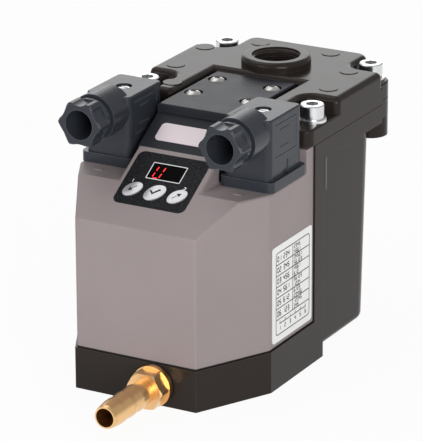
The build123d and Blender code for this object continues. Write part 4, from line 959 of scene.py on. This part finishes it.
class DRAINVALVE_OT_keypad_marks(bpy.types.Operator):
    """Prints the window's border, the lit digit, the key symbols and the numbers over the keys"""

    bl_idname = "drain_valve.keypad_marks"
    bl_label = "Keypad marks"

    def execute(self, context):
        thickness = context.scene.drain_valve_sizes.print_thickness / MM
        film, lens = slope_plane("keypad_overlay"), slope_plane("display_lens")
        width, height = plate_size("display_lens", lens)
        self.border(lens, width, height, thickness)
        self.digits(lens, height, thickness)
        self.symbols(thickness)
        self.numbers(film, thickness)
        return {"FINISHED"}

    def border(self, lens, width, height, thickness):
        """White line round the window, printed on the lens."""
        size = np.array((width, height)) - BORDER_INSET
        outer_corner, inner_corner = BORDER_CORNERS
        outer = rounded_outline(*size, outer_corner) + (0, height / 2)
        inner = rounded_outline(*(size - 2 * BORDER_LINE), inner_corner) + (0, height / 2)
        shapes = [flat_band(outer, inner, thickness)]
        piece = printed("window_border", lens, shapes, finish("white_ink"))

    def digits(self, lens, height, thickness):
        """A seven-segment digit at the left of the window, lit as a cup and leaning a little."""
        across, up = DIGIT_PLACE
        shapes = []
        for name, outline in segments(DIGIT_SIZE, DIGIT_STROKE, DIGIT_GAP):
            if name not in DARK_SEGMENTS:
                lean = outline[:, 1:] * (DIGIT_LEAN, 0)
                shapes.append(slab(outline + lean + (across, height / 2 + up), thickness))
        piece = printed("lit_digit", lens, shapes, finish("lit_segment"))

    def symbols(self, thickness):
        """An arrow on each side key and a tick on the centre key, in relief on the domes."""
        out = -np.array(joint_named("left_key_press")["axis"], float)
        for key, outlines in (
            ("left_key", arrow_outlines(-1)),
            ("centre_key", tick_outlines()),
            ("right_key", arrow_outlines(1)),
        ):
            crown, centre = key_crown(key, out)
            root = centre + out * (crown - centre @ out - SYMBOL_ROOT * MM)
            shapes = [slab(outline, thickness + SYMBOL_ROOT) for outline in outlines]
            plane = MarkPlane(root, (1, 0, 0), out)
            piece = printed(f"{key}_symbol", plane, shapes, finish("ink"), f"{key}_cap")

    def numbers(self, film, thickness):
        """Plain numbers 1 and 2 over the side keys."""
        for number, key, offset in KEY_NUMBERS:
            centre = key_crown(key, film.out)[1] - film.origin
            place = np.array((centre @ film.across, centre @ film.up)) / MM + offset
            outlines = numeral(number, KEY_NUMBER_HEIGHT) + place
            shapes = [slab(outline, thickness) for outline in outlines]
            piece = printed(f"{key}_number", film, shapes, finish("white_ink"))


def plate_size(node, plane):
    """Width and length in millimetres of a flat node on the slope, from its box."""
    low, high = (np.array(corner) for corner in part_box(node))
    sine, cosine = -plane.out[1], plane.out[2]
    depth, height = high[1] - low[1], high[2] - low[2]
    length = (depth * cosine - height * sine) / (cosine**2 - sine**2)
    return (high[0] - low[0]) / MM, length / MM


def key_crown(key, out):
    """How far out of the slope the key's dome reaches, and the middle of the key's box."""
    mesh = frame["nodes"][key].data
    points = np.empty(len(mesh.vertices) * 3)
    mesh.vertices.foreach_get("co", points)
    low, high = (np.array(corner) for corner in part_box(key))
    return (points.reshape(-1, 3) @ out).max(), (low + high) / 2


def segments(size, stroke, gap):
    """Name and outline of each of a digit's seven segments, about the digit's middle.

    A segment is a bar with pointed ends: half its length along, half the stroke across.
    """
    width, height = size
    for name, (x, y), tall in (
        ("top", (0, height / 2), False),
        ("middle", (0, 0), False),
        ("bottom", (0, -height / 2), False),
        ("upper_left", (-width / 2, height / 4), True),
        ("upper_right", (width / 2, height / 4), True),
        ("lower_left", (-width / 2, -height / 4), True),
        ("lower_right", (width / 2, -height / 4), True),
    ):
        half = (height / 2 if tall else width) / 2 - gap
        side = min(stroke / 2, half)
        tip = half - side
        upper = [(half, 0), (tip, side), (-tip, side)]
        lower = [(-half, 0), (-tip, -side), (tip, -side)]
        outline = np.array(upper + lower)
        if tall:
            outline = outline[:, ::-1] * (-1, 1)
        yield name, outline + (x, y)


NUMERALS = {
    "0": ("top", "bottom", "upper_left", "upper_right", "lower_left", "lower_right"),
    "1": ("upper_right", "lower_right"),
    "2": ("top", "upper_right", "middle", "lower_left", "bottom"),
    "3": ("top", "upper_right", "middle", "lower_right", "bottom"),
    "4": ("upper_left", "middle", "upper_right", "lower_right"),
    "5": ("top", "upper_left", "middle", "lower_right", "bottom"),
    "6": ("top", "upper_left", "middle", "lower_left", "lower_right", "bottom"),
}


def numeral(text, height):
    """Outlines of plain numerals side by side, their left end at the origin."""
    width = NUMERAL_WIDTH * height
    outlines = []
    for place, character in enumerate(text):
        middle = width * (0.5 + NUMERAL_PITCH * place)
        for name, outline in segments((width, height), NUMERAL_STROKE * height, NUMERAL_GAP * height):
            if name in NUMERALS[character]:
                outlines.append(outline + (middle, 0))
    return np.array(outlines)


def turned(outline, degrees):
    """Outline turned about the origin."""
    angle = np.radians(degrees)
    across, up = (np.cos(angle), np.sin(angle)), (-np.sin(angle), np.cos(angle))
    return outline @ np.array([across, up])


def arrow_outlines(side):
    """Triangle that points along the oval key's length, with a thin shaft behind it, in millimetres."""
    head = np.array([(2.1, 0.0), (0.4, 1.0), (0.4, -1.0)])
    shaft = np.array([(0.3, 0.12), (-2.2, 0.12), (-2.2, -0.12), (0.3, -0.12)])
    return [turned(outline * side, KEY_TURN) for outline in (head, shaft)]


def tick_outlines():
    """Two strokes of a tick, in millimetres."""
    long = np.array([(-0.6, -1.6), (2.3, 1.3), (1.75, 1.85), (-0.6, -0.5)])
    short = np.array([(-0.6, -1.6), (-0.6, -0.5), (-1.75, 0.65), (-2.3, 0.1)])
    return [long, short]


class DRAINVALVE_OT_rating_marks(bpy.types.Operator):
    """Prints a frame, rules and rows of plain numbers on the rating plate"""

    bl_idname = "drain_valve.rating_marks"
    bl_label = "Rating plate marks"

    def execute(self, context):
        low, high = (np.array(corner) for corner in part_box("rating_plate"))
        plane = MarkPlane((high[0], low[1], low[2]), (0, 1, 0), (1, 0, 0))
        width, height = (high[1:] - low[1:]) / MM
        thickness = context.scene.drain_valve_sizes.print_thickness / MM
        left, right = MARGIN_LEFT, width - MARGIN_RIGHT
        bottom, top = MARGIN_BOTTOM, height - MARGIN_TOP
        centre = np.array(((left + right) / 2, (bottom + top) / 2))
        span = np.array((right - left, top - bottom))
        outer = rounded_outline(*(span + RULE), FRAME_CORNER) + centre
        inner = rounded_outline(*(span - RULE), FRAME_CORNER - RULE) + centre
        outlines = []
        level = top - FIRST_ROW_DROP
        for number in range(1, PLATE_ROWS + 1):
            upper, level = level, level - PLATE_PITCH
            outlines += self.row(number, left, centre[0], right, upper, level)
        outlines += self.scale(left, right, level, bottom)
        shapes = [flat_band(outer, inner, thickness)]
        shapes += [slab(outline, thickness) for outline in outlines]
        marks = printed("rating_marks", plane, shapes, finish("ink"))
        return {"FINISHED"}

    def row(self, number, left, middle, right, upper, lower):
        """One row: its rules, two numbers in the left field and two lines of them in the right field."""
        half = RULE / 2
        centre = (upper + lower) / 2
        yield bar(left + half, right - half, lower, RULE)
        yield bar(middle - half, middle + half, centre, upper - lower - RULE)
        upper_line = PLATE_DIGITS[number : number + 5 - number % 2]
        lower_line = PLATE_DIGITS[number + 2 : number + 5 + number % 3]
        for text, size, x, y in (
            ("0" + PLATE_DIGITS[number - 1], LARGE_NUMBER, left + NUMBER_INSET, centre),
            (PLATE_DIGITS[number : number + 3], LARGE_NUMBER, left + SECOND_NUMBER, centre),
            (upper_line, SMALL_NUMBER, middle + NUMBER_INSET, centre + LINE_RISE),
            (lower_line, SMALL_NUMBER, middle + NUMBER_INSET, centre - LINE_DROP),
        ):
            yield from numeral(text, size) + (x, y)

    def scale(self, left, right, upper, lower):
        """Plain numbers 1 to 6 under a rule with ticks."""
        base = (upper + lower) / 2 + SCALE_RISE
        yield bar(left + SCALE_INSET, right - SCALE_INSET, base, RULE)
        ticks = np.linspace(left + TICK_INSET, right - TICK_INSET, PLATE_ROWS)
        across, up = SCALE_NUMBER_PLACE
        for number, x in enumerate(ticks, 1):
            yield bar(x - RULE / 2, x + RULE / 2, base + TICK_HEIGHT / 2, TICK_HEIGHT - RULE)
            yield from numeral(str(number), SCALE_NUMBER) + (x + across, base + up)


def bar(left, right, level, height):
    """Outline of a level bar between two ends."""
    lower, upper = level - height / 2, level + height / 2
    return np.array([(left, lower), (right, lower), (right, upper), (left, upper)])


class DRAINVALVE_OT_stage(bpy.types.Operator):
    """Makes the floor, the lamps and the camera"""

    bl_idname = "drain_valve.stage"
    bl_label = "Stage"

    def execute(self, context):
        self.floor(context)
        self.lamps(context)
        self.camera(context)
        context.scene.view_settings.view_transform = "Standard"
        return {"FINISHED"}

    def floor(self, context):
        """Square floor round the origin."""
        half = context.scene.drain_valve_sizes.floor_size / 2
        corners = [(-half, -half, 0), (half, -half, 0), (half, half, 0), (-half, half, 0)]
        mesh = bpy.data.meshes.new("floor")
        mesh.from_pydata(corners, [], [(0, 1, 2, 3)])
        mesh.materials.append(self.floor_white())
        floor = bpy.data.objects.new("floor", mesh)
        context.scene.collection.objects.link(floor)

    def floor_white(self):
        """Matte floor that keeps a soft shadow, and shows nearly white to the camera and in mirrors."""
        base = rgba(bpy.context.scene.drain_valve_colours.floor)
        material, tree, principled = new_material("floor", Roughness=0.9, Base_Color=base)
        path = add(tree, "ShaderNodeLightPath").outputs
        seen = math_node(tree, "MAXIMUM", path["Is Camera Ray"], path["Is Glossy Ray"])
        seen = math_node(tree, "MAXIMUM", seen, path["Is Transmission Ray"])
        white = add(tree, "ShaderNodeEmission", {"Strength": 1.0})
        mix = add(tree, "ShaderNodeMixShader")
        tree.links.new(math_node(tree, "MULTIPLY", seen, SHOWN_WHITE), mix.inputs["Fac"])
        tree.links.new(principled.outputs[0], mix.inputs[1])
        tree.links.new(white.outputs[0], mix.inputs[2])
        tree.links.new(mix.outputs[0], tree.nodes["Material Output"].inputs["Surface"])
        return material

    def lamps(self, context):
        """Soft lamps at the right and in front, and panels behind and overhead, in a pale world."""
        world = bpy.data.worlds.new("studio")
        context.scene.world = world
        world.use_nodes = True
        background = world.node_tree.nodes["Background"]
        background.inputs["Color"].default_value = (1, 1, 1, 1)
        background.inputs["Strength"].default_value = WORLD_STRENGTH
        for name, place, size, power in LAMPS:
            lamp = bpy.data.lights.new(name, "AREA")
            lamp.shape = "RECTANGLE"
            lamp.size, lamp.size_y = size
            lamp.energy = power
            holder = bpy.data.objects.new(name, lamp)
            holder.location = place
            towards = Vector(LAMP_TARGET) - Vector(place)
            holder.rotation_euler = towards.to_track_quat("-Z", "Y").to_euler()
            context.scene.collection.objects.link(holder)

    def camera(self, context):
        """Camera in front, to the right and above, with a long lens."""
        azimuth, elevation, roll = np.radians(CAMERA_TURNS)
        level = np.cos(elevation)
        back = Vector((np.sin(azimuth) * level, -np.cos(azimuth) * level, np.sin(elevation)))
        right = (-back).cross(Vector((0, 0, 1))).normalized()
        up = right.cross(-back)
        rolled_right = right * np.cos(roll) + up * np.sin(roll)
        rolled_up = up * np.cos(roll) - right * np.sin(roll)
        data = bpy.data.cameras.new("camera")
        data.sensor_width = CAMERA_SENSOR
        data.lens = CAMERA_LENS
        data.shift_x, data.shift_y = CAMERA_SHIFT
        data.clip_end = CAMERA_REACH
        camera = bpy.data.objects.new("camera", data)
        place = Vector(CAMERA_TARGET) + back * CAMERA_DISTANCE
        basis = Matrix((rolled_right, rolled_up, back)).transposed().to_4x4()
        camera.matrix_world = Matrix.Translation(place) @ basis
        context.scene.collection.objects.link(camera)
        context.scene.camera = camera


class DRAINVALVE_PT_panel(bpy.types.Panel):
    """Lists the add-on's steps"""

    bl_label = "Drain Valve"
    bl_idname = "DRAINVALVE_PT_panel"
    bl_space_type = "VIEW_3D"
    bl_region_type = "UI"
    bl_category = "Drain Valve"

    def draw(self, context):
        for step in STEPS:
            self.layout.operator(step.bl_idname)


STEPS = (
    DRAINVALVE_OT_finishes,
    DRAINVALVE_OT_inlet_thread,
    DRAINVALVE_OT_coil_spring,
    DRAINVALVE_OT_keypad_marks,
    DRAINVALVE_OT_rating_marks,
    DRAINVALVE_OT_stage,
)
CLASSES = (DrainValveSizes, DrainValveColours, *STEPS, DRAINVALVE_PT_panel)


def register():
    """Registers the classes, and hangs the settings on the scene."""
    for cls in CLASSES:
        bpy.utils.register_class(cls)
    bpy.types.Scene.drain_valve_sizes = bpy.props.PointerProperty(type=DrainValveSizes)
    bpy.types.Scene.drain_valve_colours = bpy.props.PointerProperty(type=DrainValveColours)


def unregister():
    """Takes the settings and the classes away again."""
    del bpy.types.Scene.drain_valve_colours
    del bpy.types.Scene.drain_valve_sizes
    for cls in reversed(CLASSES):
        bpy.utils.unregister_class(cls)


def main():
    """Runs every step in order."""
    register()
    for step in STEPS:
        area, action = step.bl_idname.split(".")
        getattr(getattr(bpy.ops, area), action)()


if __name__ == "__main__":
    main()
